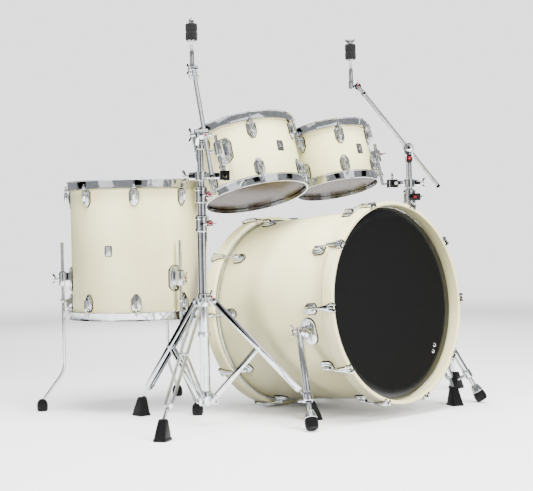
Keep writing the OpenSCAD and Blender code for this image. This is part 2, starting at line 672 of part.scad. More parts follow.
bass_shell();
bass_front_hoop();
bass_rear_hoop();
bass_front_head();
bass_rear_head();
bass_lugs();
bass_claws();
spur_brackets();
spur_tube_left();
spur_tube_right();
spur_foot_left();
spur_foot_right();
floor_tom_shell();
floor_tom_hoops();
floor_tom_heads();
floor_tom_lugs();
floor_tom_brackets();
floor_tom_leg_a();
floor_tom_leg_b();
floor_tom_leg_c();
tom_one_shell();
tom_one_hoops();
tom_one_heads();
tom_one_lugs();
tom_one_bracket();
tom_two_shell();
tom_two_hoops();
tom_two_heads();
tom_two_lugs();
tom_two_bracket();
left_base();
left_hub();
left_leg_a();
left_leg_b();
left_leg_c();
left_strut_a();
left_strut_b();
left_strut_c();
left_mid_tube();
left_top_tube();
left_clamp();
left_arm();
left_tilter();
left_boom();
left_post();
right_base();
right_hub();
right_leg_a();
right_leg_b();
right_leg_c();
right_strut_a();
right_strut_b();
right_strut_c();
right_top_tube();
right_clamp();
right_arm();
right_tilter();
right_boom();
right_post();
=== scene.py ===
import math

import bpy
import bmesh
from mathutils import Matrix, Vector


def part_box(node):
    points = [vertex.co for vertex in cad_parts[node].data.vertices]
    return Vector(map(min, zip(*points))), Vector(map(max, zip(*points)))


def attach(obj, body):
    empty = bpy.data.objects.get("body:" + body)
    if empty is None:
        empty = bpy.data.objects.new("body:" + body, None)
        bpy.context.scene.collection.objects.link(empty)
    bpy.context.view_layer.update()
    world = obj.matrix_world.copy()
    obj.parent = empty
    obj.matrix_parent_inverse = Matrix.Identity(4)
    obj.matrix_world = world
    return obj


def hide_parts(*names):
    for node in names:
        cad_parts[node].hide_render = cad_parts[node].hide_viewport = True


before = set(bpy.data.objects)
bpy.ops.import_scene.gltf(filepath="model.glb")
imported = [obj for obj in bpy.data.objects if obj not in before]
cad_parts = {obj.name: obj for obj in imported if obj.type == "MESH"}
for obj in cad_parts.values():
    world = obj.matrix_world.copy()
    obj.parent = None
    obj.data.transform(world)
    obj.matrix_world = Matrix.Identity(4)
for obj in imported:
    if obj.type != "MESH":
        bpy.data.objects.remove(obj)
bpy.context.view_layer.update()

# Shapes are worked out in millimetres and brought to metres as each piece is finished.


def middleOf(node):
    low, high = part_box(node)
    return (low + high) * 500


floorTomMiddle = middleOf("floor_tom_shell")
kitShift = Vector((floorTomMiddle.x + 313, floorTomMiddle.y - 813.9, 0))


def inKit(x, y, z=0):
    return Vector((x, y, z)) + kitShift


def link(thing):
    bpy.context.scene.collection.objects.link(thing)


print("camera")
lens = {"focal": 92.38, "place": (-3128.0, -2520.7, 534.8), "turn": -45.62, "down": 0.40, "roll": -1.21}
camera = bpy.data.objects.new("camera", bpy.data.cameras.new("camera"))
camera.data.lens = lens["focal"]
camera.data.sensor_width = 36
camera.data.sensor_fit = "HORIZONTAL"
camera.data.clip_start = 0.05
camera.matrix_world = (
    Matrix.Translation(inKit(*lens["place"]) / 1000)
    @ Matrix.Rotation(math.radians(lens["turn"]), 4, "Z")
    @ Matrix.Rotation(math.radians(90 - lens["down"]), 4, "X")
    @ Matrix.Rotation(math.radians(lens["roll"]), 4, "Z")
)
link(camera)
bpy.context.scene.camera = camera


def hexColour(code, alpha=1.0):
    parts = [int(code[i:i + 2], 16) / 255 for i in (1, 3, 5)]
    return [c / 12.92 if c <= 0.04045 else ((c + 0.055) / 1.055) ** 2.4 for c in parts] + [alpha]


# a node with its sockets set or fed; another node given for a socket feeds it from its first output
def addNode(material, kind, links=None, **settings):
    tree = material.node_tree
    node = tree.nodes.new("ShaderNode" + kind)
    for key, value in settings.items():
        setattr(node, key, value)
    for socket, source in (links or {}).items():
        if isinstance(source, bpy.types.Node):
            source = source.outputs[0]
        if isinstance(source, bpy.types.NodeSocket):
            tree.links.new(source, node.inputs[socket])
        else:
            node.inputs[socket].default_value = source
    return node


def newFinish(name):
    material = bpy.data.materials.new(name)
    material.use_nodes = True
    material.node_tree.nodes.clear()
    return material


def rampStops(ramp, *stops):
    band = ramp.color_ramp
    while len(band.elements) < len(stops):
        band.elements.new(0.5)
    for element, (where, colour) in zip(band.elements, stops):
        element.position = where
        element.color = colour


def eased(bm, edges, width, segments):
    bmesh.ops.bevel(bm, geom=edges, offset=width, offset_type="OFFSET", affect="EDGES", segments=segments,
        profile=0.5, material=-1, clamp_overlap=True)


def softened(bm, width, segments=2, angle=32):
    sharp = [e for e in bm.edges if len(e.link_faces) == 2 and e.calc_face_angle(0) > math.radians(angle)]
    eased(bm, sharp, width, segments)


def tinted(bm, index, chosen=None):
    for face in bm.faces:
        if chosen is None or chosen(face.calc_center_median()):
            face.material_index = index
    return bm


# a shape turned on a lathe: (radius, height) points round Z
def turned(profile, steps=48, loop=False, soft=0.0, tint=0):
    bm = bmesh.new()
    dots = [bm.verts.new((r, 0, z)) for r, z in profile]
    ends = dots[1:] + dots[:1] if loop else dots[1:]
    lines = [bm.edges.new(pair) for pair in zip(dots, ends)]
    bmesh.ops.spin(bm, geom=dots + lines, cent=(0, 0, 0), axis=(0, 0, 1), dvec=(0, 0, 0), angle=math.tau, steps=steps,
        use_merge=True, use_duplicate=False)
    bmesh.ops.remove_doubles(bm, verts=bm.verts, dist=0.001)
    bmesh.ops.recalc_face_normals(bm, faces=bm.faces)
    if soft:
        softened(bm, soft)
    return tinted(bm, tint)


# a plate cut to an outline, with its holes, from one level to another
def slab(outline, low, high, soft=0.0, corner=0.0, holes=(), tint=0):
    bm = bmesh.new()
    for loop in [outline, *holes]:
        dots = [bm.verts.new((x, y, low)) for x, y in loop]
        for pair in zip(dots, dots[1:] + dots[:1]):
            bm.edges.new(pair)
    if holes:
        bmesh.ops.triangle_fill(bm, use_beauty=True, use_dissolve=False, edges=bm.edges)
    else:
        bmesh.ops.contextual_create(bm, geom=bm.edges)
    raised = bmesh.ops.extrude_face_region(bm, geom=bm.faces[:], use_keep_orig=True)
    bmesh.ops.translate(bm, vec=(0, 0, high - low), verts=[v for v in raised["geom"] if isinstance(v,
        bmesh.types.BMVert)])
    bmesh.ops.recalc_face_normals(bm, faces=bm.faces)
    if corner:
        upright = [e for e in bm.edges if abs(e.verts[0].co.z - e.verts[1].co.z) > 1e-4]
        eased(bm, upright, corner, 4)
    if soft:
        softened(bm, soft)
    return tinted(bm, tint)


def ringOf(x, y, radius, steps=16):
    return [(x + radius * math.cos(math.tau * i / steps),
        y + radius * math.sin(math.tau * i / steps)) for i in range(steps)]


def stadium(x0, x1, radius, steps=8):
    turns = [math.pi * (i / steps - 0.5) for i in range(steps + 1)]
    return [(x1 + radius * math.cos(t), radius * math.sin(t)) for t in turns] + \
        [(x0 - radius * math.cos(t), -radius * math.sin(t)) for t in turns]


def brick(low, high, soft=0.6, tint=0):
    return slab([(low[0], low[1]), (high[0], low[1]), (high[0], high[1]), (low[0], high[1])], low[2], high[2],
        soft=soft, tint=tint)


def drawn(radius, low, high, soft=0.5, steps=32, tint=0):
    return turned([(0, low), (radius, low), (radius, high), (0, high)], steps, soft=soft, tint=tint)


def tubing(radius, wall, low, high, steps=40, tint=0):
    return turned([(radius, low), (radius, high), (radius - wall, high), (radius - wall, low)], steps, loop=True,
        soft=0.3, tint=tint)


# a round rod that follows points, each inner corner eased
def bentRod(points, radius, bend, tint=0, sides=4):
    path = [Vector(points[0])]
    for before, corner, after in zip(points, points[1:], points[2:]):
        corner = Vector(corner)
        a = corner + (Vector(before) - corner).normalized() * bend
        b = corner + (Vector(after) - corner).normalized() * bend
        path += [a * (1 - t) ** 2 + corner * 2 * t * (1 - t) + b * t ** 2 for t in [i / 10 for i in range(11)]]
    path.append(Vector(points[-1]))
    curve = bpy.data.curves.new("rod", "CURVE")
    curve.dimensions = "3D"
    curve.bevel_depth = radius
    curve.bevel_resolution = sides
    curve.use_fill_caps = True
    line = curve.splines.new("POLY")
    line.points.add(len(path) - 1)
    for dot, place in zip(line.points, path):
        dot.co = (*place, 1)
    holder = bpy.data.objects.new("rod", curve)
    mesh = bpy.data.meshes.new_from_object(holder)
    bm = bmesh.new()
    bm.from_mesh(mesh)
    bmesh.ops.remove_doubles(bm, verts=bm.verts, dist=0.001)
    bmesh.ops.recalc_face_normals(bm, faces=bm.faces)
    bpy.data.objects.remove(holder)
    bpy.data.curves.remove(curve)
    bpy.data.meshes.remove(mesh)
    return tinted(bm, tint)


def stamp(piece, part, place=Matrix.Identity(4)):
    mesh = bpy.data.meshes.new("part")
    part.to_mesh(mesh)
    mesh.transform(place)
    piece.from_mesh(mesh)
    bpy.data.meshes.remove(mesh)
    return piece


def joined(*parts):
    piece = bmesh.new()
    for part in parts:
        stamp(piece, *part) if isinstance(part, tuple) else stamp(piece, part)
    return piece


def makePiece(name, bm, finishes, body, slot, *stands, sharp=34):
    mesh = bpy.data.meshes.new(name)
    bm.to_mesh(mesh)
    bm.free()
    mesh.transform(Matrix.Scale(0.001, 4))
    for finish in finishes:
        mesh.materials.append(finish)
    mesh.shade_smooth()
    mesh.set_sharp_from_angle(angle=math.radians(sharp))
    piece = bpy.data.objects.new(name, mesh)
    link(piece)
    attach(piece, body)
    if stands:
        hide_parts(*stands)


def moved(x, y, z):
    return Matrix.Translation((x, y, z))


def turnedBy(degrees, axis="Z"):
    return Matrix.Rotation(math.radians(degrees), 4, axis)


# local Z runs along one direction and local X as near the other as it can
def aimed(place, along, beside=(1, 0, 0)):
    z = Vector(along).normalized()
    y = z.cross(Vector(beside)).normalized()
    return Matrix.Translation(place) @ Matrix((y.cross(z), y, z)).transposed().to_4x4()


print("finishes")


# sprayed polyester lacquer on a wooden shell, polished: warm white, a soft sheen under a clear skin, faint waviness
def makeIvoryLacquer():
    m = newFinish("ivoryLacquerSprayed")
    at = addNode(m, "TexCoord")
    # about 110 mm
    cloud = addNode(m, "TexNoise", {"Vector": at.outputs["Object"], "Scale": 9.0, "Detail": 3.0})
    tone = addNode(m, "ValToRGB", {"Fac": cloud})
    rampStops(tone, (0.3, hexColour("#E3DCA6")), (0.7, hexColour("#E9E2B2")))
    # 6 mm ripple, coarser than the real peel
    skin = addNode(m, "TexNoise", {"Vector": at.outputs["Object"], "Scale": 160.0, "Detail": 2.0})
    gloss = addNode(m, "MapRange", {"Value": cloud, "To Min": 0.33, "To Max": 0.42})
    ripple = addNode(m, "Bump", {"Height": skin, "Strength": 0.05, "Distance": 0.0004})
    shader = addNode(m, "BsdfPrincipled", {
        "Base Color": tone, "Roughness": gloss, "Normal": ripple,
        "IOR": 1.5, "Coat Weight": 0.35, "Coat Roughness": 0.2})
    addNode(m, "OutputMaterial", {"Surface": shader})
    return m


# nickel and chromium plate over polished metal: near mirror, with slight polishing haze
def makeMetal(name, light, dark, low, high, grain, bump=0.03):
    m = newFinish(name)
    at = addNode(m, "TexCoord")
    haze = addNode(m, "TexNoise", {"Vector": at.outputs["Object"], "Scale": grain, "Detail": 4.0})
    tone = addNode(m, "ValToRGB", {"Fac": haze})
    rampStops(tone, (0.35, hexColour(dark)), (0.65, hexColour(light)))
    gloss = addNode(m, "MapRange", {"Value": haze, "From Min": 0.3, "From Max": 0.7, "To Min": low, "To Max": high})
    dent = addNode(m, "Bump", {"Height": haze, "Strength": bump, "Distance": 0.0003})
    shader = addNode(m, "BsdfPrincipled", {
        "Base Color": tone, "Metallic": 1.0, "Roughness": gloss,
                "Normal": dent})
    addNode(m, "OutputMaterial", {"Surface": shader})
    return m


# dull moulded or coated stuff: a base tone broken up by grain, with a bump of the same grain
def makeDull(name, light, dark, rough, grain, bump, depth, alpha=1.0, **extra):
    m = newFinish(name)
    at = addNode(m, "TexCoord")
    speck = addNode(m, "TexNoise", {"Vector": at.outputs["Object"], "Scale": grain, "Detail": 5.0, "Roughness": 0.6})
    tone = addNode(m, "ValToRGB", {"Fac": speck})
    rampStops(tone, (0.3, hexColour(dark)), (0.7, hexColour(light)))
    gloss = addNode(m, "MapRange", {"Value": speck, "To Min": rough - 0.06, "To Max": rough + 0.06})
    pits = addNode(m, "Bump", {"Height": speck, "Strength": bump, "Distance": depth})
    sockets = {"Base Color": tone, "Roughness": gloss, "Normal": pits, "Alpha": alpha}
    sockets.update({key.replace("_", " "): value for key, value in extra.items()})
    shader = addNode(m, "BsdfPrincipled", sockets)
    addNode(m, "OutputMaterial", {"Surface": shader})
    return m


# rotary-cut maple inside the shells, sealed but not glossy: long grain round the drum
def makeBareMaple():
    m = newFinish("mapleVeneerSealed")
    at = addNode(m, "TexCoord")
    stretch = addNode(m, "Mapping", {"Vector": at.outputs["Object"], "Scale": (6.0, 6.0, 90.0)})
    grain = addNode(m, "TexNoise", {"Vector": stretch, "Scale": 3.0, "Detail": 6.0, "Roughness": 0.65})
    tone = addNode(m, "ValToRGB", {"Fac": grain})
    rampStops(tone, (0.3, hexColour("#B4895A")), (0.7, hexColour("#DDBB8B")))
    ridge = addNode(m, "Bump", {"Height": grain, "Strength": 0.1, "Distance": 0.0004})
    shader = addNode(m, "BsdfPrincipled", {
        "Base Color": tone, "Roughness": 0.5, "Normal": ridge})
    addNode(m, "OutputMaterial", {"Surface": shader})
    return m


ivoryLacquer = makeIvoryLacquer()
bareMaple = makeBareMaple()
# chrome over polished steel and castings: near mirror, read by what it reflects, hazed a little
chromePlate = makeMetal("chromePlatePolished", "#DCDEE1", "#C9CCD0", 0.05, 0.13, 60.0)
# extruded aluminium ring: a broad, soft gleam beside the chrome
ringAluminium = makeMetal("aluminiumExtruded", "#D2D4D6", "#B3B6BA", 0.25, 0.4, 140.0, 0.08)
# stamped nickel, toned dark so that the badge stands out from the lacquer
badgeNickel = makeMetal("nickelStamped", "#8C867C", "#5F5A52", 0.18, 0.34, 220.0, 0.1)
# sprayed black coat on the front film: dead matt, with a 1.5 mm speck
blackCoating = makeDull("polyesterFilmCoated", "#101010", "#0B0B0B", 0.7, 700.0, 0.25, 0.0003,
    Specular_IOR_Level=0.06)
# the same film left bare at its rim: a dark gloss line inside the hoop
glossBand = makeDull("polyesterFilmBare", "#101011", "#0A0A0B", 0.22, 40.0, 0.02, 0.0002)
# clear film, part see-through, tinted with the maple's brown and darkened with painted shade for the shaded inside of
# the drum: a faintly shiny skin
clearFilmPaintedShade = makeDull("polyesterFilmClearPaintedShade", "#55412A", "#46341F", 0.24, 30.0, 0.03, 0.0004, alpha=0.7,
    Specular_IOR_Level=0.25)
# moulded feet, gaskets and grips: rubber is matt, nylon has a low shine
blackRubber = makeDull("rubberMoulded", "#0D0D0E", "#070708", 0.55, 380.0, 0.3, 0.0003, Specular_IOR_Level=0.2)
blackNylon = makeDull("nylonMoulded", "#0A0A0B", "#050506", 0.4, 300.0, 0.08, 0.0002, Specular_IOR_Level=0.2)
# dyed nylon caps: deep red dots on the wing bolts
redPlastic = makeDull("nylonDyedRed", "#78081A", "#560310", 0.36, 260.0, 0.06, 0.0002, Specular_IOR_Level=0.25)
# pressed wool washers: no shine, with 2 mm tufts that break their edge
darkFelt = makeDull("woolFeltPressed", "#161617", "#0A0A0B", 0.95, 520.0, 0.9, 0.0008, Sheen_Weight=0.1)


def shieldOutline(length, width):
    right = [(length * 0.5, width * 0.2), (length * 0.34, width * 0.5), (-length * 0.30, width * 0.5),
        (-length * 0.5, width * 0.27)]
    return right + [(x, -y) for x, y in reversed(right)]


# lifts a plate drawn in XY so that it stands on a shell of that radius, facing +X, its length along Z
def onShell(radius):
    return Matrix.Translation((radius, 0, 0)) @ turnedBy(90, "Y")


# bends a part that faces +X round the Z axis, so that its back follows a shell
def wrapped(bm, radius):
    for vert in bm.verts:
        turn = vert.co.y / radius
        vert.co.y, vert.co.x = vert.co.x * math.sin(turn), vert.co.x * math.cos(turn)
    return bm


def lugOutline(length, width, grow=0.0):
    right = [(-length * 0.5 - grow, width * 0.30 + grow * 0.4), (-length * 0.36 - grow * 0.3, width * 0.5 + grow),
        (length * 0.22, width * 0.5 + grow), (length * 0.5 + grow, width * 0.17 + grow * 0.3)]
    return right + [(x, -y) for x, y in reversed(right)]


# one lug on a shell: rubber gasket, cast plate pointed at its tail, faceted back and the barrel that takes the rod
def makeLug(radius, length, width, rise=14):
    gasket = slab(lugOutline(length, width, 1.7), -1.5, 1.8, soft=0.3, tint=1)
    plate = slab(lugOutline(length, width), 1.7, 5.2, soft=1.1)
    facet = slab(lugOutline(length * 0.8, width * 0.66), 5.0, 9.4, soft=2.4)
    lug = joined((joined(gasket, plate, facet), onShell(radius)))
    stamp(lug, brick((radius + 5, -4.4, -length * 0.14), (radius + rise - 2, 4.4, length * 0.40), soft=1.4))
    top = length * 0.44
    barrel = turned([(0, -length * 0.18), (3.6, -length * 0.18), (6.2, -length * 0.08), (6.2, top - 7),
        (5.6, top - 6.4), (5.6, top - 5), (6.6, top - 4.2), (6.6, top - 1), (6.0, top), (3.2, top), (3.2, top - 2),
        (0, top - 2)], 28)
    stamp(lug, barrel, moved(radius + rise, 0, 0))
    stamp(lug, turned([(3.0, top - 1.6), (5.0, top - 1.6), (5.0, top + 0.8), (3.0, top + 0.8)], 20, loop=True,
        tint=3), moved(radius + rise, 0, 0))
    return lug


# rod with a washer and a square key head
def makeTensionRod(low, high):
    shaft = drawn(2.9, low, high + 2, soft=0.3, steps=16)
    washer = turned([(2.6, high), (6.2, high), (6.2, high + 1.2), (2.6, high + 1.2)], 24, loop=True, soft=0.3)
    collar = drawn(4.7, high + 1.1, high + 4.6, soft=0.8, steps=20)
    key = brick((-2.6, -2.6, high + 4), (2.6, 2.6, high + 12), soft=0.7)
    return joined(shaft, washer, collar, key)


# wing bolt along +Z with its red centre cap
def makeWingBolt(reach, span, cap=2):
    side = [(3.5, 2.0), (7.5, 3.2), (span * 0.5 + 3.2, 7.2), (span * 0.5 + 5.6, 11.0), (span * 0.5 + 2.6, 14.6),
        (span * 0.5 - 2.0, 14.0), (5.0, 8.6), (3.5, 8.6)]
    outline = side + [(-x, z) for x, z in reversed(side)]
    wings = slab(outline, -2.0, 2.0, soft=0.9, corner=1.2)
    bolt = joined((wings, moved(0, 0, reach) @ turnedBy(90, "X")))
    stamp(bolt, drawn(3, 0, reach + 2, soft=0.3, steps=16))
    stamp(bolt, turned([(0, reach - 1), (5.4, reach - 1), (6, reach), (5.2, reach + 8.2), (4.2, reach + 9),
        (0, reach + 9)], 24))
    stamp(bolt, turned([(0, reach + 8.8), (3.3, reach + 8.8), (3.3, reach + 9.8), (2.6, reach + 10.4),
        (0, reach + 10.4)], 20, tint=cap))
    return bolt


# plain badge, bent to its shell: rim, sunken field and a vent eyelet
def makeBadge(radius, width, height):
    def field(w, h):
        return [(h / 2, w / 2), (-h / 2, w / 2), (-h / 2, -w / 2), (h / 2, -w / 2)]
    rim = slab(field(width, height), 0.1, 1.3, soft=0.4, corner=3.2)
    sunk = slab(field(width - 5, height - 5), 1.2, 1.7, soft=0.2, corner=2.0, tint=1)
    bmesh.ops.subdivide_edges(rim, edges=[e for e in rim.edges if e.calc_length() > 8], cuts=6, use_grid_fill=True)
    badge = wrapped(joined((joined(rim, sunk), onShell(radius))), radius)
    eyelet = turned([(2.6, 0), (5.0, 0), (5.0, 2.6), (4.2, 3.2), (3.0, 3.2), (2.6, 2.6)], 28, loop=True, tint=2)
    stamp(badge, eyelet, onShell(radius))
    return badge


# tint 0 to 3 on any piece of hardware
metalParts = [chromePlate, blackRubber, redPlastic, blackNylon]


def makeHardware(name, bm, body, *stands):
    makePiece(name, bm, metalParts, body, "chrome", *stands)


print("bass drum")
bassDrum = {"radius": 279.4, "depth": 457, "tilt": 3.95, "hoopWidth": 41, "recess": 32, "claws": 10, "lugInset": 98,
    "lug": (45, 30), "grommets": ((190, -137), (181, -155)), "rise": 14}


def makeBassDrum(d):
    r, inside, outside = d["radius"], d["radius"] + 6.1, d["radius"] + 17.6
    total = d["depth"] + 2 * d["recess"]
    turn = turnedBy(-90 - d["tilt"], "X")
    place = Matrix.Translation(middleOf("bass_shell")) @ turn @ moved(0, 0, -total / 2)
    other = place @ moved(0, 0, total) @ turnedBy(180, "X")

    shell = turned([(r, d["recess"] + 3.5), (r, total - d["recess"] - 3.5), (r - 2, total - d["recess"]),
        (r - 6.5, total - d["recess"] - 5), (r - 6.5, d["recess"] + 5), (r - 2, d["recess"])], 144, loop=True)
    tinted(shell, 1, lambda c: math.hypot(c.x, c.y) < r - 1.2)
    makePiece("bassShellSkin", joined((shell, place)), [ivoryLacquer, bareMaple], "bass_drum", "ivory", "bass_shell")

    hoop = turned([(inside, 0), (outside, 0), (outside, d["hoopWidth"]), (inside, d["hoopWidth"])], 144, loop=True)
    softened(hoop, 3.2, 4)
    makePiece("bassFrontHoopBent", joined((hoop, place)), [ivoryLacquer], "bass_drum", "ivory", "bass_front_hoop")
    makePiece("bassRearHoopBent", joined((hoop, other)), [ivoryLacquer], "bass_drum", "ivory", "bass_rear_hoop")

    # film, its rounded collar over the shell's edge, and the glossy rim left bare by the coating
    e = d["recess"]
    skin = turned([(0, e - 0.9), (r - 26, e - 0.9), (r - 25.5, e - 1.0), (r - 5, e - 1.0), (r - 1, e - 0.6),
        (r + 1.2, e + 1.4), (r + 1.3, e + 10), (r + 0.6, e + 10), (r + 0.5, e + 1.8), (r - 1.2, e), (0, e)], 144)
    black = tinted(joined(skin), 1, lambda c: math.hypot(c.x, c.y) > r - 26)
    makePiece("bassFrontFilm", joined((black, place)), [blackCoating, glossBand], "bass_drum", "black_film",
        "bass_front_head")
    makePiece("bassRearFilm", joined((skin, other)), [clearFilmPaintedShade], "bass_drum", "clear_film", "bass_rear_head")
    ring = turned([(r + 1.4, e + 9.6), (r + 6.8, e + 9.6), (r + 6.8, e + 19), (r + 1.4, e + 19)], 144, loop=True,
        soft=0.8)
    makePiece("bassFleshRings", joined((ring, place), (ring, other)), [ringAluminium], "bass_drum", "chrome")
    eyes = bmesh.new()
    for x, z in d["grommets"]:
        stamp(eyes, turned([(3.2, -1.6), (6.4, -1.6), (6.6, -0.6), (5.6, 0.6), (4.0, 0.8), (3.2, 0.2)], 28,
            loop=True), place @ moved(x, -z, e) @ turnedBy(180, "X") @ moved(0, 0, 1.2))
    makePiece("bassHeadGrommets", eyes, [chromePlate], "bass_drum", "chrome")

    lugs, claws = bmesh.new(), bmesh.new()
    lug = makeLug(r, *d["lug"])
    # forked claw that flares towards the hoop's face, rubber lined, the key head sunk between its prongs
    w = d["hoopWidth"]
    half = [(-w - 5, 4.6), (-w * 0.72, 6.4), (-w * 0.30, 9.4), (-7, 13.2), (4.0, 13.2)]
    fork = half + [(4.0, 5.2), (-9.5, 5.2)] + [(-9.5, -5.2), (4.0, -5.2)] + [(z, -y) for z, y in reversed(half)]
    upright = Matrix(((0, 0, 1, 0), (0, 1, 0, 0), (1, 0, 0, 0), (0, 0, 0, 1)))
    claw = joined((slab(fork, outside + 0.8, outside + 8.6, soft=1.5), upright))
    stamp(claw, slab([(z, y * 0.62) for z, y in half[:4]] + [(z, -y * 0.62) for z, y in reversed(half[:4])],
        outside + 7, outside + 11, soft=1.8), upright)
    for t in (-1, 1):
        stamp(claw, brick((inside + 3, t * 9.2 - 4, 0.7), (outside + 8, t * 9.2 + 4, 4.4), soft=1.2))
    liner = [(z, y + 0.9) for z, y in half]
    stamp(claw, slab(liner + [(z, -y) for z, y in reversed(liner)], outside + 0.1, outside + 1.0, tint=1), upright)
    stamp(claw, drawn(5.0, -w - 9, -w - 3, soft=1.0, steps=24), moved(outside + 4.6, 0, 0))
    stamp(claw, drawn(4.4, -9, -3.4, soft=0.8, steps=24), moved(outside + 4.8, 0, 0))
    stamp(claw, brick((outside + 2.2, -2.6, -4), (outside + 7.4, 2.6, 3.4), soft=0.6))
    low, high = Vector((r + d["rise"], 0, -d["lugInset"])), Vector((outside + 4.6, 0, -w - 4))
    stamp(claw, joined((drawn(2.9, 0, (high - low).length, soft=0.3, steps=16), aimed(low, high - low))))
    for i in range(d["claws"]):
        for end in (place, other):
            spot = end @ turnedBy(-90 + 18 + i * 36) @ turnedBy(180, "X")
            stamp(lugs, lug, spot @ moved(0, 0, -d["lugInset"]))
            stamp(claws, claw, spot)
    makeHardware("bassLugSet", lugs, "bass_drum", "bass_lugs")
    makeHardware("bassClawSet", claws, "bass_drum", "bass_claws")
    vent = turned([(3.4, -1), (7.5, -1), (7.5, 1.4), (6, 2.2), (4.2, 2.2), (3.4, 1.4)], 32, loop=True)
    makePiece("bassVentEyelet", joined((vent, place @ turnedBy(-90) @ moved(0, 0, total / 2) @ onShell(r))),
        [chromePlate], "bass_drum", "chrome")
    return place


bassPlace = makeBassDrum(bassDrum)

print("spurs")
spurs = {"hub": (-313, 112, 262), "tip": (-397, -9, 0), "tube": 10, "rod": 6.5}


def makeSpur(side, word):
    hub, tip = Vector(spurs["hub"]), Vector(spurs["tip"])
    down = (tip - hub).normalized()
    beside = Vector((-1, 0, -down.x / down.z)).normalized()
    length = (tip - hub).length
    up = Vector((side * down.x, -down.y, -down.z))
    place = aimed(inKit(-side * hub.x, hub.y, hub.z), up, Vector((-side * beside.x, beside.y, beside.z)))
    across = turnedBy(90, "Y")
    tube = joined(tubing(spurs["tube"], 2.4, -190, 12))
    stamp(tube, turned([(6.7, -212), (11.6, -212), (12.8, -210), (12.8, -187), (11.4, -185), (6.7, -185)], 36,
        loop=True, soft=0.4))
    stamp(tube, turned([(6.6, -214), (9.4, -214), (9.4, -211.5), (6.6, -211.5)], 32, loop=True, tint=3))
    stamp(tube, turned([(0, -9.6), (16, -9.6), (17, -8.6), (17, 2.6), (15.6, 4), (8, 4), (7, 5.4), (0, 5.4)], 40),
        across)
    stamp(tube, drawn(9.4, 4, 6.4, soft=0.6, tint=2), across)
    stamp(tube, drawn(5, -26, -9, soft=0.4), across)
    stamp(tube, makeWingBolt(14, 28), across)
    stamp(tube, makeWingBolt(18, 20), moved(0, 0, -200) @ turnedBy(side * -90, "X"))
    makeHardware("spurTube_" + word, joined((tube, place)), "spur_" + word, "spur_tube_" + word)
    foot = drawn(spurs["rod"], 44, 156, soft=0.5)
    stamp(foot, turned([(0, 38.5), (16.6, 38.5), (17.4, 40), (16.4, 46), (12.4, 58), (10.6, 62), (0, 62)], 40))
    rubber = turned([(0, 8.6), (14.6, 8.6), (17, 10.6), (18.6, 18), (19, 26), (18.4, 34), (17, 38.6), (0, 38.6)], 40,
        tint=1)
    stamp(foot, rubber)
    makeHardware("spurFoot_" + word, joined((foot, place @ moved(0, 0, -length))), "spur_" + word + "_foot",
        "spur_foot_" + word)
    knuckle = turned([(6, -30), (16, -30), (17, -29), (17, -11.4), (16, -10.4), (6, -10.4)], 40, loop=True, soft=0.3)
    return joined((knuckle, place @ across))


brackets = joined(makeSpur(-1, "left"), makeSpur(1, "right"))
for side in (-1, 1):
    spot = bassPlace @ moved(0, 0, 112) @ turnedBy(-90 + side * 103) @ turnedBy(180, "X")
    plate = slab(stadium(-14, 14, 25, 12), 1.2, 5.4, soft=1.2)
    gasket = slab(stadium(-14, 14, 26, 12), -3, 1.3, soft=0.3, tint=1)
    post = turned([(0, 5), (20, 5), (18.6, 8), (17, 14), (0, 14)], 40)
    screws = [(turned([(0, 5.2), (4.6, 5.2), (4.6, 6.8), (3.6, 7.8), (0, 7.8)], 20),
        moved(s * 26, 0, 0)) for s in (-1, 1)]
    stamp(brackets, joined(plate, gasket, post, *screws), spot @ onShell(bassDrum["radius"]) @ turnedBy(90))
makeHardware("spurBracketPair", brackets, "bass_drum", "spur_brackets")


# sizes that the three drums with steel hoops share: the hoop's height, the film above the hoop's open
# edge, and how far a tension rod stands off the shell
hoopTall = 27
hoopSit = 12.8
rodRise = 14
lugInset = 43


# flanged steel hoop, its open end at z = 0, with a rounded ear for each rod
def makeSteelHoop(r, count, at):
    tall = hoopTall
    hoop = turned([(r + 6.2, 0.3), (r + 7.4, 0), (r + 10.6, 0), (r + 11.3, 0.8), (r + 11.1, 1.9), (r + 8.6, 2.8),
        (r + 8.3, tall - 4), (r + 9, tall - 2.6), (r + 12, tall - 2.3), (r + 12, tall - 0.2), (r + 3.6, tall),
        (r + 3.4, tall - 2.2), (r + 5.6, tall - 2.8), (r + 6, tall - 5)], 112, loop=True)
    ear = slab([(r + 7.6, -8.5), (r + 16, -7.6), (r + 20.2, -5.4), (r + 21, 0), (r + 20.2, 5.4), (r + 16, 7.6),
        (r + 7.6, 8.5)], tall - 3, tall + 0.2, soft=0.7, corner=0.8)
    for i in range(count):
        stamp(hoop, ear, turnedBy(at + i * 360 / count))
    return hoop


# film with its collar
def makeFilm(r):
    return turned([(0, -0.7), (r - 5, -0.7), (r - 1.2, -0.4), (r + 0.9, 1.2), (r + 1.1, 8), (r + 0.5, 8),
        (r + 0.3, 1.6), (r - 1.4, 0), (0, 0)], 112)


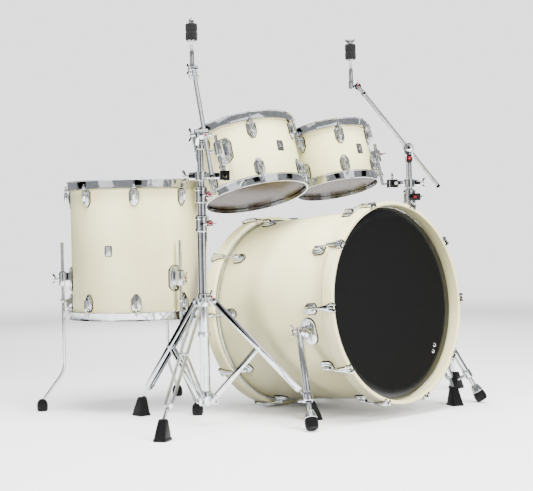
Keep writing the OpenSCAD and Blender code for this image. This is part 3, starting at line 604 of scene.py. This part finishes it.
def makeDrum(name, d, place, cad):
    r, depth, sit = d["radius"], d["depth"], hoopSit
    total = depth + 2 * sit
    shell = turned([(r, sit + 3), (r, sit + depth - 3), (r - 2, sit + depth), (r - 6.5, sit + depth - 5),
        (r - 6.5, sit + 5), (r - 2, sit)], 128, loop=True)
    tinted(shell, 1, lambda c: math.hypot(c.x, c.y) < r - 1.2)
    makePiece(name + "ShellSkin", joined((shell, place)), [ivoryLacquer, bareMaple], cad, "ivory", cad + "_shell")
    other = place @ moved(0, 0, total) @ turnedBy(180, "X")
    hoops = joined((makeSteelHoop(r, d["lugs"], d["lugAt"]), place), (makeSteelHoop(r, d["lugs"], -d["lugAt"]),
        other))
    makePiece(name + "HoopPair", hoops, [chromePlate], cad, "chrome", cad + "_hoops")
    film = makeFilm(r)
    makePiece(name + "LowerFilm", joined((film, place @ moved(0, 0, sit))), [clearFilmPaintedShade], cad, "clear_film",
        cad + "_heads")
    makePiece(name + "UpperFilm", joined((film, other @ moved(0, 0, sit))), [clearFilmPaintedShade], cad, "clear_film")
    ring = turned([(r + 1.2, 7.4), (r + 3.1, 7.4), (r + 3.1, 13), (r + 1.2, 13)], 112, loop=True, soft=0.4)
    makePiece(name + "FleshRings", joined((ring, place @ moved(0, 0, sit)), (ring, other @ moved(0, 0, sit))),
        [ringAluminium], cad, "chrome")
    lugs, rods = bmesh.new(), bmesh.new()
    lug = makeLug(r, 50, 27)
    rod = joined((makeTensionRod(depth / 2 - lugInset - 9, total / 2 - hoopTall + 3.3), moved(r + rodRise, 0, 0)))
    for i in range(d["lugs"]):
        spot = place @ moved(0, 0, total / 2) @ turnedBy(d["lugAt"] + i * 360 / d["lugs"])
        for half in (spot, spot @ turnedBy(180, "X")):
            stamp(lugs, lug, half @ moved(0, 0, depth / 2 - lugInset))
            stamp(rods, rod, half)
    makeHardware(name + "LugSet", lugs, cad, cad + "_lugs")
    makeHardware(name + "RodSet", rods, cad)
    badge = makeBadge(r, 24, 33)
    makePiece(name + "Badge", joined((badge, place @ turnedBy(d["badgeAt"]) @ moved(0, 0, d["badgeUp"]))),
        [badgeNickel, ringAluminium, chromePlate], cad, "chrome")


# six-sided bracket with a block and an eye that grips a rod
def makeRodBracket(r, length, width, out, tall, grip, bolt):
    gasket = slab(shieldOutline(length + 3, width + 3), -3.0, 1.4, soft=0.3, corner=3, tint=1)
    plate = slab(shieldOutline(length, width), 1.2, 6.0, soft=1.6, corner=3)
    raised = slab(shieldOutline(length * 0.74, width * 0.66), 5.8, 8.2, soft=1.2, corner=3)
    screws = [(turned([(0, 5.8), (3.6, 5.8), (3.6, 7.4), (2.8, 8.2), (0, 8.2)], 20),
        moved(s * length * 0.41, 0, 0)) for s in (-1, 1)]
    bracket = joined((joined(gasket, plate, raised, *screws), onShell(r)))
    stamp(bracket, brick((r + 6, -9.5, -tall / 2 + 1), (r + out - 4, 9.5, tall / 2 - 1), soft=1.8))
    stamp(bracket, turned([(grip, -tall / 2), (11, -tall / 2), (12, -tall / 2 + 1), (12, tall / 2 - 1),
        (11, tall / 2), (grip, tall / 2)], 36, loop=True, soft=0.3), moved(r + out, 0, 0))
    stamp(bracket, turned([(grip + 0.1, tall / 2 - 0.6), (9, tall / 2 - 0.6), (9, tall / 2 + 2), (8, tall / 2 + 2.6),
        (grip + 0.1, tall / 2 + 2.6)], 32, loop=True, tint=3), moved(r + out, 0, 0))
    stamp(bracket, bolt[0], moved(r + out, 0, 0) @ bolt[1])
    return bracket


print("floor tom")
floorTom = {"radius": 203.2, "depth": 406, "lugs": 8, "lugAt": -131, "badgeAt": -154.5, "badgeUp": 214,
    "legAt": -95.3, "legOut": 29, "legTop": 528, "footOut": 304, "bracketUp": 412}
floorPlace = Matrix.Translation(floorTomMiddle - Vector((0, 0, floorTom["depth"] / 2 + hoopSit)))
makeDrum("floorTom", floorTom, floorPlace, "floor_tom")


def makeFloorLegs(d):
    r = d["radius"]
    bracket = makeRodBracket(r, 76, 44, d["legOut"], 44, 5.2, (makeWingBolt(18, 26), turnedBy(90, "Y")))
    eyes = bmesh.new()
    step = d["footOut"] - r - d["legOut"]
    for i, letter in enumerate("abc"):
        spot = Matrix.Translation((floorTomMiddle.x, floorTomMiddle.y, 0)) @ turnedBy(d["legAt"] + i * 120)
        stamp(eyes, bracket, spot @ moved(0, 0, d["bracketUp"]))
        leg = bentRod([(0, 0, d["legTop"]), (0, 0, 126), (step, 0, 30), (step, 0, 20)], 5, 26)
        stamp(leg, turned([(5.1, 340), (8.4, 340), (9, 341), (9, 349), (8.4, 350), (5.1, 350)], 28, loop=True))
        foot = turned([(0, 0), (13, 0), (15.5, 2), (17, 10), (17, 20), (15.5, 28), (11, 35), (7, 38), (0, 38)], 36,
            tint=1)
        stamp(leg, foot, moved(step, 0, 0))
        makeHardware("floorTomLeg_" + letter, joined((leg, spot @ moved(r + d["legOut"], 0, 0))),
            "floor_leg_" + letter, "floor_tom_leg_" + letter)
    makeHardware("floorTomBracketSet", eyes, "floor_tom", "floor_tom_brackets")


makeFloorLegs(floorTom)

print("rack toms")
tomOne = {"radius": 152.4, "depth": 203, "lugs": 6, "lugAt": -126.8, "badgeAt": -95, "badgeUp": 117,
    "lean": (0.030, 0.294, 1), "bracketAt": -163, "bracketUp": 128, "reach": 38, "armTop": 172}
tomTwo = {"radius": 127, "depth": 178, "lugs": 6, "lugAt": -122.6, "badgeAt": -92.5, "badgeUp": 101,
    "lean": (0.032, 0.253, 1), "bracketAt": -25, "bracketUp": 100, "reach": 38, "armTop": 144}


def tomPlace(d, node):
    z = Vector(d["lean"]).normalized()
    x = Vector((0, 1, 0)).cross(z).normalized()
    return aimed(middleOf(node) - z * (d["depth"] / 2 + hoopSit), z, x)


def makeRackTom(name, d, cad):
    place = tomPlace(d, cad + "_shell")
    makeDrum(name, d, place, cad)
    bracket = makeRodBracket(d["radius"], 76, 50, d["reach"], 40, 5.4, (makeWingBolt(21, 26), turnedBy(90, "X")))
    makeHardware(name + "RodBracket", joined((bracket, place @ turnedBy(d["bracketAt"])
        @ moved(0, 0, d["bracketUp"]))), cad, cad + "_bracket")
    return place


tomOnePlace = makeRackTom("tomOne", tomOne, "tom_one")
tomTwoPlace = makeRackTom("tomTwo", tomTwo, "tom_two")

stands = {
    "left": {"at": (-472, 334), "legs": -154.5, "angle": 42.6, "top": 573, "ring": 259, "boomAt": 57.4,
             "tilter": 826, "clamp": 709, "wingFront": True,
             "jaw": (-424.4, 285.4), "topFrom": 460, "mid": True},
    "right": {"at": (394, 268), "legs": -114, "angle": 35.4, "top": 653, "ring": 0, "boomAt": 134.5, "tilter": 811,
              "clamp": 697, "wingFront": False,
              "jaw": (355.5, 307.3), "topFrom": 420, "mid": False},
}
standSizes = {"base": 14.3, "mid": 12.7, "topTube": 9.5, "pivotOut": 30, "strutFoot": 80, "arm": 184.7, "leg": 421,
    "boom": 6.3, "boomLean": 37.7, "boomUpper": 254, "boomTail": 162, "rod": 5.25}


def standPlace(d, turn):
    return Matrix.Translation(inKit(*d["at"])) @ turnedBy(turn)


def rivetHead():
    return turned([(0, 0), (5, 0), (4.6, 1.2), (3, 2.2), (0, 2.4)], 20)


# split clamp collar with a nylon bush and its wing bolt
def makeCollar(radius, bore, z, tall):
    low, high = z - tall / 2, z + tall / 2
    body = turned([(bore, low), (radius - 1.5, low), (radius, low + 1.5), (radius, low + tall * 0.2),
        (radius - 1.6, low + tall * 0.24), (radius - 1.6, high - tall * 0.24), (radius, high - tall * 0.2),
        (radius, high - 1.5), (radius - 1.5, high), (bore, high)], 44, loop=True)
    stamp(body, turned([(bore, high - 0.4), (radius - 4, high - 0.4), (radius - 4, high + 1.6),
        (radius - 5, high + 2.4), (bore, high + 2.4)], 40, loop=True, tint=3))
    for s in (-1, 1):
        stamp(body, brick((radius - 3, s * 4.4 - 2.6, low + tall * 0.25),
            (radius + 10, s * 4.4 + 2.6, low + tall * 0.75), soft=1.4))
    stamp(body, brick((radius - 3, -1.9, low + tall * 0.28), (radius + 8.6, 1.9, low + tall * 0.72), soft=0.3,
        tint=3))
    stamp(body, joined((makeWingBolt(16, 26), moved(radius + 4, 0, z) @ turnedBy(90, "X"))))
    stamp(body, turned([(0, 7), (7.4, 7), (8.4, 8), (8.4, 13), (7.4, 14), (0, 14)], 12, tint=2),
        moved(radius + 4, 0, z) @ turnedBy(90, "X"))
    stamp(body, turned([(0, -1), (4.6, -1), (4.6, 1.0), (3.8, 1.8), (0, 2)], 20, tint=3),
        turnedBy(-95) @ moved(radius, 0, z) @ turnedBy(90, "Y"))
    stamp(body, turned([(0, 6.8), (4.6, 6.8), (4.6, 9), (3.8, 9.8), (0, 9.8)], 6),
        moved(radius + 4, 0, z) @ turnedBy(-90, "X"))
    return body


def makeLegsAndStruts(word, d, s):
    a, pivot, arm = d["angle"], s["pivotOut"], s["arm"]
    lean = math.radians(a)
    hub = s["strutFoot"] + 2 * arm * math.cos(lean)
    out = pivot + s["leg"] * math.sin(lean)
    hubPiece = turned([(14.5, hub - 14), (19, hub - 14), (20, hub - 13), (20, hub + 8), (18.4, hub + 10),
        (18.4, hub + 20.6), (17.2, hub + 22), (14.5, hub + 22)], 44, loop=True, soft=0.3)
    stamp(hubPiece, turned([(14.5, hub + 21.6), (17, hub + 21.6), (17, hub + 23.6), (14.5, hub + 23.6)], 40,
        loop=True, tint=3))
    for i, letter in enumerate("abc"):
        spin = turnedBy(i * 120)
        stamp(hubPiece, brick((15, -7.4, hub - 9), (pivot + 5.6, 7.4, hub + 9), soft=2.2), spin)
        stamp(hubPiece, drawn(3, -12.2, 12.2, soft=0.3, steps=16), spin @ moved(pivot, 0, hub) @ turnedBy(90, "X"))
        for t in (-1, 1):
            stamp(hubPiece, rivetHead(), spin @ moved(pivot, t * 10.9, hub) @ turnedBy(-90 * t, "X"))

        place = standPlace(d, d["legs"] + i * 120)
        along = place @ moved(pivot, 0, hub) @ turnedBy(90, "X") @ turnedBy(a - 90)
        # one strap bent double: it turns round into a fork that the rubber foot grips
        reach = s["leg"] - 42 / math.cos(lean)
        half = [math.pi * k / 14 for k in range(15)]
        bend, bendIn = ([(reach - 10.5 + w * math.sin(t), -w * math.cos(t)) for t in half] for w in (10.5, 8.0))
        strap = slab([(-8, -10.5)] + bend + [(-8, 10.5), (-8, 8.0)] + bendIn[::-1] + [(-8, -8.0)], -8.2, 8.2,
            soft=0.5)
        leg = joined((strap, along @ turnedBy(90, "X")))
        for t in (-1, 1):
            stamp(leg, joined((drawn(8.2, -1.25, 1.25, soft=0.5, steps=28), along @ moved(0, 0, t * 9.25))))
        stamp(leg, brick((reach - 3, -5, -1.5), (s["leg"] - 8, 5, 1.5), soft=0.6), along @ turnedBy(90, "X"))
        toe = [(-19, 0), (22, 0), (25, 3), (23, 14), (6, 52), (2, 57), (-8, 58), (-13, 54), (-17, 30), (-21, 4)]
        foot = slab(toe, -16, 16, soft=4.0, tint=1)
        for vert in foot.verts:
            vert.co.z *= 1.06 - vert.co.y * 0.0062
        sole = [(-20, 0), (23, 0), (25.6, 3), (24.4, 8), (-21.2, 8), (-21.6, 3)]
        stamp(foot, slab(sole, -18, 18, soft=1.2, tint=1))
        stamp(leg, foot, place @ moved(out - 3, 0, 0) @ turnedBy(90, "X"))
        makeHardware(word + "Leg_" + letter, leg, word + "_leg_" + letter, word + "_leg_" + letter)

        strut = bmesh.new()
        middle = place @ moved(pivot + arm * math.sin(lean), 0, hub - arm * math.cos(lean)) @ turnedBy(90, "X")
        brace = slab(stadium(0, arm, 7), -1.2, 1.2, soft=0.5)
        for t in (-1, 1):
            stamp(strut, brace, middle @ turnedBy(270 - a) @ moved(0, 0, t * 6.5))
            stamp(strut, rivetHead(), middle @ moved(0, 0, t * 10.9) @ turnedBy(90 - 90 * t, "X"))
        stamp(strut, drawn(2.95, -11.8, 11.8, soft=0.3, steps=16), middle)
        stamp(strut, drawn(2.95, -8.4, 8.4, soft=0.3, steps=16), middle @ turnedBy(270 - a) @ moved(arm, 0, 0))
        for t in (-1, 1):
            stamp(strut, turned([(0, 0), (4.6, 0), (4, 1), (0, 1.6)], 20),
                middle @ turnedBy(270 - a) @ moved(arm, 0, t * 7.6) @ turnedBy(90 - 90 * t, "X"))
        makeHardware(word + "Strut_" + letter, strut, word + "_strut_" + letter, word + "_strut_" + letter)
    stamp(hubPiece, makeWingBolt(10, 28), turnedBy(60) @ moved(18, 0, hub + 14) @ turnedBy(90, "Y"))
    makeHardware(word + "HubCollar", joined((hubPiece, standPlace(d, d["legs"]))), word + "_hub", word + "_hub")


def makeBase(word, d, s):
    r, ring, top = s["base"], d["ring"], d["top"]
    base = tubing(r, 1.4, 62, top - 2)
    # foot casting that the struts hinge on, each ear slotted so that the legs can close
    stamp(base, turned([(0, 56), (14, 56), (17, 58), (18, 60), (18, 92), (16.4, 96), (14.4, 98), (0, 98)], 44))
    slot = [(s["pivotOut"] + y, s["strutFoot"] - 6.5 + x) for x, y in stadium(-7.0, 7.0, 3.7)]
    ear = slab([(14, 58), (34, 58), (37, 61), (37, 85), (34, 88), (14, 88)], -4.6, 4.6, soft=0.7, holes=[slot])
    for i in range(3):
        stamp(base, ear, turnedBy(i * 120) @ turnedBy(90, "X"))
    if ring:
        stamp(base, turned([(r + 0.1, ring - 7), (18, ring - 7), (19, ring - 6), (19, ring + 6), (18, ring + 7),
            (r + 0.1, ring + 7)], 40, loop=True))
        stamp(base, brick((17, -4, ring - 5), (21, 4, ring + 5), soft=0.8))
    bore = (s["mid"] if d["mid"] else s["topTube"]) + 0.1
    if not d["mid"]:
        block = brick((4, -38, -13), (32, -13, 10), soft=2.4, tint=3)
        stamp(block, brick((9, -39.6, -6), (19, -37, 2), soft=1.0, tint=2))
        stamp(base, block, moved(0, 0, top) @ turnedBy(-45 - d["legs"]))
    stamp(base, makeCollar(20, bore, top, 44), turnedBy(-40 - d["legs"]))
    makeHardware(word + "BaseTube", joined((base, standPlace(d, d["legs"]))), word + "_stand", word + "_base")
    if d["mid"]:
        tube = tubing(s["mid"], 1.3, 300, 640)
        stamp(tube, makeCollar(18, s["topTube"] + 0.1, 655, 44))
        makeHardware(word + "MidTube", joined((tube, standPlace(d, -40))), word + "_mid", word + "_mid_tube")


def makeBoom(word, d, s):
    z, turn = d["tilter"], d["boomAt"] - 90
    place = standPlace(d, turn)
    tube = tubing(s["topTube"], 1.6, d["topFrom"], z - 38)
    stamp(tube, turned([(0, z - 41), (12, z - 41), (13, z - 40), (13, z - 26), (11, z - 21), (0, z - 21)], 40))
    cheek = slab([(-13, -30), (13, -30), (15, -10)] + [(17 * math.cos(t),
        17 * math.sin(t)) for t in [math.pi * k / 12 for k in range(13)]] + [(-15, -10)], -10, 0, soft=1.2)
    side = Matrix(((0, 0, 1, 0), (1, 0, 0, 0), (0, 1, 0, 0), (0, 0, 0, 1)))
    stamp(tube, cheek, moved(-6, 0, z) @ side)
    if not d["mid"]:
        grip = brick((-9, -20, -13), (9, -8, 13), soft=2.0, tint=3)
        stamp(grip, brick((-5.5, -21.6, -6), (5.5, -19, 6), soft=1.2, tint=2))
        stamp(grip, turned([(0, 20.8), (2.2, 20.8), (2.0, 22.4), (0, 22.8)], 16), turnedBy(90, "X"))
        stamp(tube, grip, moved(0, 0, z - 33) @ turnedBy(-135 - turn + 90))
    makeHardware(word + "TopTube", joined((tube, place)), word + "_top", word + "_top_tube")

    head = place @ moved(0, 0, z)
    leaned = turnedBy(-s["boomLean"], "X")
    across = turnedBy(90, "Y")
    tilter = joined((turned([(0, -5.6), (16, -5.6), (17, -4.6), (17, 5.4), (16, 6.4), (0, 6.4)], 44), across))
    for i in range(24):  # fine teeth round the meeting face
        stamp(tilter, brick((14, -0.7, -5.9), (17.1, 0.7, -4.2), soft=0), across @ turnedBy(i * 15))
    stamp(tilter, drawn(4, -18, -4, soft=0.3), across)
    if d["wingFront"]:
        stamp(tilter, makeWingBolt(2, 30), moved(-16.4, 0, 0) @ turnedBy(-90, "Y"))
    else:
        cap = turned([(0, 0), (11, 0), (12, 1), (11.4, 3.4), (9, 4.6), (0, 5)], 36)
        stamp(cap, turned([(0, 4.6), (4.6, 4.6), (4.6, 7), (4, 7.6), (0, 7.6)], 6, tint=3))
        stamp(tilter, cap, moved(-16.2, 0, 0) @ turnedBy(-90, "Y"))
        stamp(tilter, makeWingBolt(10, 26), leaned @ moved(24, 0, 0) @ turnedBy(90, "Y") @ turnedBy(40))
    stamp(tilter, brick((4, -10, -16), (24, 10, 16), soft=2.2), leaned)
    stamp(tilter, brick((3.4, -10.4, -2), (24.6, 10.4, 2), soft=0.4, tint=3), leaned)
    stamp(tilter, turned([(0, 10), (3.6, 10), (3.2, 11.6), (0, 12)], 20, tint=2),
        leaned @ moved(14, 0, -9) @ turnedBy(90, "X"))
    stamp(tilter, turned([(0, 24), (7, 24), (7, 31), (6, 33), (0, 33)], 32), leaned @ across)
    makeHardware(word + "BoomTilter", joined((tilter, head)), word + "_tilter", word + "_tilter")

    tall, tail, rod = s["boomUpper"], s["boomTail"], s["boom"]
    boom = turned([(0, -tail), (rod - 0.6, -tail), (rod, 0.6 - tail), (rod, tall - 0.6), (rod - 0.6, tall),
        (0, tall)], 36)
    stamp(boom, turned([(0, -tail - 0.1), (rod + 0.1, -tail + 0.2), (rod + 0.3, -tail + 9), (0, -tail + 9)], 32,
        tint=3))
    stamp(boom, turned([(0, tall - 30), (7.6, tall - 30), (8.5, tall - 29), (8.5, tall - 17), (7.6, tall - 16),
        (0, tall - 16)], 36))
    stamp(boom, turned([(0, 118), (7.2, 118), (7.8, 119), (7.8, 124), (7.2, 125), (0, 125)], 36))
    stamp(boom, brick((-14, -5, tall - 28), (14, 5, tall - 18), soft=1.6))
    stamp(boom, turned([(0, 0), (4.4, 0), (5, 0.8), (5, 4.4), (4, 5.2), (0, 5.2)], 20),
        moved(-13, 0, tall - 23) @ turnedBy(-90, "Y"))
    stamp(boom, turned([(3.6, -3.8), (10, -3.8), (11, -2.8), (11, 2.8), (10, 3.8), (3.6, 3.8)], 36, loop=True),
        moved(0, 0, tall + 8) @ across)
    boomPlace = head @ leaned @ moved(14, 0, 0)
    makeHardware(word + "BoomRod", joined((boom, boomPlace)), word + "_boom", word + "_boom")

    postPlace = boomPlace @ moved(0, 0, tall + 8) @ turnedBy(s["boomLean"], "X")
    post = joined((turned([(0, 4.4), (10, 4.4), (11, 5.4), (11, 11.4), (10, 12.4), (0, 12.4)], 36), across))
    stamp(post, drawn(2.8, -8, 6, soft=0.3), across)
    stamp(post, makeWingBolt(2, 22), moved(-4.4, 0, 0) @ turnedBy(-90, "Y"))
    stamp(post, brick((4.6, 4, -6), (12.2, 22, 6), soft=1.2))
    up = moved(0, 22, 0)
    stamp(post, turned([(0, -8), (7, -8), (8, -7), (8, 15), (6.6, 18), (6.5, 20), (6.5, 56), (5.4, 58), (0, 58)], 36),
        up)
    thread = [(0, 56), (3.9, 56)] + [p for k in range(30) for p in ((3.5, 62 + k * 3.0),
        (4.0, 63.5 + k * 3.0))] + [(3.2, 153), (0, 154)]
    stamp(post, turned(thread, 20), up)
    stamp(post, turned([(4.2, 86), (15.4, 86), (16, 86.6), (16, 88.2), (15.4, 88.8), (4.2, 88.8)], 40, loop=True), up)
    stamp(post, turned([(4.1, 138), (8, 138), (8, 148), (6.6, 151), (4.1, 151)], 32, loop=True, soft=0.4), up)
    stamp(post, turned([(0, 141), (3.9, 141), (3.9, 146), (0, 146)], 16), up)
    nutWings = [(5, 140), (9, 141), (15.4, 146), (17.2, 151), (14.8, 154.4), (10.4, 153.4), (6.4, 150), (5, 150)]
    stamp(post, slab(nutWings + [(-x, z) for x, z in reversed(nutWings)], -2.1, 2.1, soft=0.9),
        up @ turnedBy(90) @ turnedBy(90, "X"))
    makeHardware(word + "PostRod", joined((post, postPlace)), word + "_post", word + "_post")
    felts = bmesh.new()
    for low in (89.2, 113.6):
        felt = turned([(4.6, low), (16.6, low), (17.8, low + 3), (18, low + 12), (17.8, low + 21), (16.6, low + 24),
            (4.6, low + 24)], 56, loop=True)
        softened(felt, 0.9, 2, 20)
        stamp(felts, felt, up)
    makePiece(word + "PostFelts", joined((felts, postPlace)), [darkFelt], word + "_post", "rubber")


# two-jaw clamp between a stand's tube and a tom's arm
def makeClamp(word, d, s, corner):
    at, jaw, z = Vector((*d["at"], d["clamp"])), Vector((*d["jaw"], d["clamp"])), d["clamp"]
    reach = (jaw - at).length
    turn = math.degrees(math.atan2(jaw.y - at.y, jaw.x - at.x))
    place = Matrix.Translation(inKit(*at)) @ turnedBy(turn)
    bore = s["topTube"] + 0.5
    clamp = turned([(bore, -13), (16.5, -13), (18, -11.5), (18, 11.5), (16.5, 13), (bore, 13)], 44, loop=True)
    stamp(clamp, brick((11.4, -9, -9), (reach - 7, 9, 9), soft=2.0))
    stamp(clamp, brick((-34, -8, -11), (-11.4, 8, 11), soft=2.0))
    stamp(clamp, brick((-35, -8.6, -5), (-20, 8.6, 5), soft=1.2, tint=3))
    stamp(clamp, makeWingBolt(6, 26), moved(-33, 0, 0) @ turnedBy(-90, "Y"))
    stamp(clamp, drawn(3.2, 8, 27, soft=0.4, steps=20), moved(reach, 0, 0))
    thumb = slab([(-7, 25), (7, 25), (13, 31), (13, 36), (-13, 36), (-13, 31)], -3.4, 3.4, soft=1.0, corner=1.5)
    stamp(clamp, thumb, moved(reach, 0, 0) @ turnedBy(45 - turn) @ turnedBy(90, "X"))
    piece = joined((clamp, place))
    along = aimed(inKit(*jaw), Vector((corner.x, corner.y, 0)) - inKit(jaw.x, jaw.y, 0), (0, 0, 1))
    eye = slab([(-13, -13), (13, -13), (13, 13), (-13, 13)], -14.5, 14.5, soft=1.6, corner=3.5,
        holes=[ringOf(0, 0, s["rod"] + 0.5, 40)], tint=3)
    for t in (-1, 1):
        stamp(eye, slab([(-14, -14.6), (14, -14.6), (14, 14.6), (-14, 14.6)], t * 11.4 - 1.8, t * 11.4 + 1.8,
            soft=0.9, corner=4, holes=[ringOf(0, 0, s["rod"] + 0.6, 40)]))
    stamp(piece, eye, along)
    makeHardware(word + "ArmClamp", piece, word + "_clamp", word + "_clamp")


def makeArm(word, d, s, tom, place):
    out = tom["radius"] + tom["reach"]
    base = place @ turnedBy(tom["bracketAt"]) @ Vector((out, 0, 0))
    up = (place.to_3x3() @ Vector((0, 0, 1))).normalized()
    corner = base + up * ((d["clamp"] - base.z) / up.z)
    jaw = inKit(*d["jaw"], d["clamp"])
    run = (corner - jaw).normalized()
    arm = bentRod([jaw - run * 34, corner, base + up * tom["armTop"]], s["rod"], 13, sides=6)
    stamp(arm, turned([(5.3, -6), (8.4, -6), (9, -5.4), (9, 5.4), (8.4, 6), (5.3, 6)], 32, loop=True),
        aimed(corner + up * 34, up))
    makeHardware(word + "TomArm", arm, word + "_arm", word + "_arm")
    return corner


for word, tom, place in (("left", tomOne, tomOnePlace), ("right", tomTwo, tomTwoPlace)):
    print(word, "stand")
    d = stands[word]
    makeBase(word, d, standSizes)
    makeLegsAndStruts(word, d, standSizes)
    makeBoom(word, d, standSizes)
    makeClamp(word, d, standSizes, makeArm(word, d, standSizes, tom, place))

print("stage and light")
studio = {"backdrop": "#E0E0E0", "backdropPower": 2.95, "floor": "#F6F6F6", "bounce": "#6A6A68", "room": "#8E8F90",
    "roomPower": 0.3, "wallPower": 1.5, "fadeFrom": 1.6, "fadeTo": 8.0}


def makeStage(d):
    bm = bmesh.new()
    bmesh.ops.create_circle(bm, cap_ends=True, radius=12, segments=96)
    mesh = bpy.data.meshes.new("studioFloor")
    bm.to_mesh(mesh)
    floor = bpy.data.objects.new("studioFloor", mesh)
    link(floor)
    m = newFinish("paperSweep")
    at = addNode(m, "TexCoord")
    away = addNode(m, "VectorMath", {0: at.outputs["Object"]}, operation="LENGTH")
    fade = addNode(m, "MapRange", {"Value": away.outputs["Value"], "From Min": d["fadeFrom"],
        "From Max": d["fadeTo"]}, interpolation_type="SMOOTHSTEP")
    paper = addNode(m, "BsdfPrincipled", {"Base Color": hexColour(d["floor"]), "Roughness": 0.6,
        "Specular IOR Level": 0.2})
    clear = addNode(m, "BsdfTransparent")
    seen = addNode(m, "LightPath")
    dim = addNode(m, "BsdfDiffuse", {"Color": hexColour(d["bounce"])})
    sheet = addNode(m, "MixShader", {0: seen.outputs["Is Diffuse Ray"], 1: paper, 2: dim})
    mix = addNode(m, "MixShader", {0: fade, 1: sheet, 2: clear})
    addNode(m, "OutputMaterial", {"Surface": mix})
    mesh.materials.append(m)

    world = bpy.data.worlds.new("studio")
    world.use_nodes = True
    world.node_tree.nodes.clear()
    seen = addNode(world, "LightPath")
    page = addNode(world, "Background", {"Color": hexColour(d["backdrop"]), "Strength": d["backdropPower"]})
    room = addNode(world, "Background", {"Color": hexColour(d["room"]), "Strength": d["roomPower"]})
    walls = addNode(world, "Background", {"Color": hexColour(d["room"]), "Strength": d["wallPower"]})
    away = addNode(world, "MixShader", {0: seen.outputs["Is Glossy Ray"], 1: room, 2: walls})
    both = addNode(world, "MixShader", {0: seen.outputs["Is Camera Ray"], 1: away, 2: page})
    addNode(world, "OutputWorld", {"Surface": both})
    bpy.context.scene.world = world


makeStage(studio)


# soft boxes light the drums; white cards and black flags are what the chrome mirrors
def softBox(name, place, target, width, height, power):
    light = bpy.data.lights.new(name, "AREA")
    light.shape = "RECTANGLE"
    light.size, light.size_y, light.energy = width, height, power
    box = bpy.data.objects.new(name, light)
    box.matrix_world = facing(place, target)
    box.visible_glossy = False
    link(box)


def facing(place, target):
    return Matrix.Translation(place) @ (Vector(target) - Vector(place)).to_track_quat("-Z", "Y").to_matrix().to_4x4()


def mirrorCard(name, place, width, height, glow):
    bm = bmesh.new()
    bmesh.ops.create_grid(bm, x_segments=1, y_segments=1, size=0.5)
    bmesh.ops.scale(bm, vec=(width, height, 1), verts=bm.verts)
    mesh = bpy.data.meshes.new(name)
    bm.to_mesh(mesh)
    m = newFinish("cardCloth_" + name)
    cloth = addNode(m, "Emission", {"Color": hexColour("#FFFFFF"), "Strength": glow})
    addNode(m, "OutputMaterial", {"Surface": cloth})
    mesh.materials.append(m)
    card = bpy.data.objects.new(name, mesh)
    card.matrix_world = facing(place, (0, 0, 0.6))
    link(card)
    for kind in ("camera", "diffuse", "transmission", "volume_scatter", "shadow"):
        setattr(card, "visible_" + kind, False)


softBox("keyBox", (-1.2, -4.4, 1.9), (0, 0, 0.5), 1.7, 2.8, 620)
softBox("fillBox", (-4.4, -0.2, 1.3), (-0.2, 0.1, 0.5), 1.2, 2.2, 240)
softBox("topBox", (-0.4, -0.6, 3.4), (0, 0, 0), 2.4, 2.4, 430)
softBox("backBox", (2.8, 3.0, 2.0), (0, 0, 0.5), 1.8, 1.8, 160)
softBox("sideBox", (4.2, -1.6, 1.3), (0, 0, 0.5), 1.0, 2.0, 90)
mirrorCard("cardKey", (-0.6, -4.2, 1.4), 2.2, 3.4, 2.0)
mirrorCard("cardFill", (-4.2, 0.3, 1.2), 1.8, 3.0, 1.6)
mirrorCard("cardTop", (-0.3, -0.3, 3.3), 3.2, 3.2, 2.0)
mirrorCard("cardBack", (2.8, 2.6, 1.6), 2.0, 2.4, 1.2)
mirrorCard("flagFront", (-2.6, -3.0, 0.8), 0.95, 3.0, 0.0)
mirrorCard("flagLeft", (-2.4, 2.9, 0.9), 1.4, 3.0, 0.0)
mirrorCard("flagRight", (2.6, -3.2, 0.9), 1.2, 3.0, 0.0)
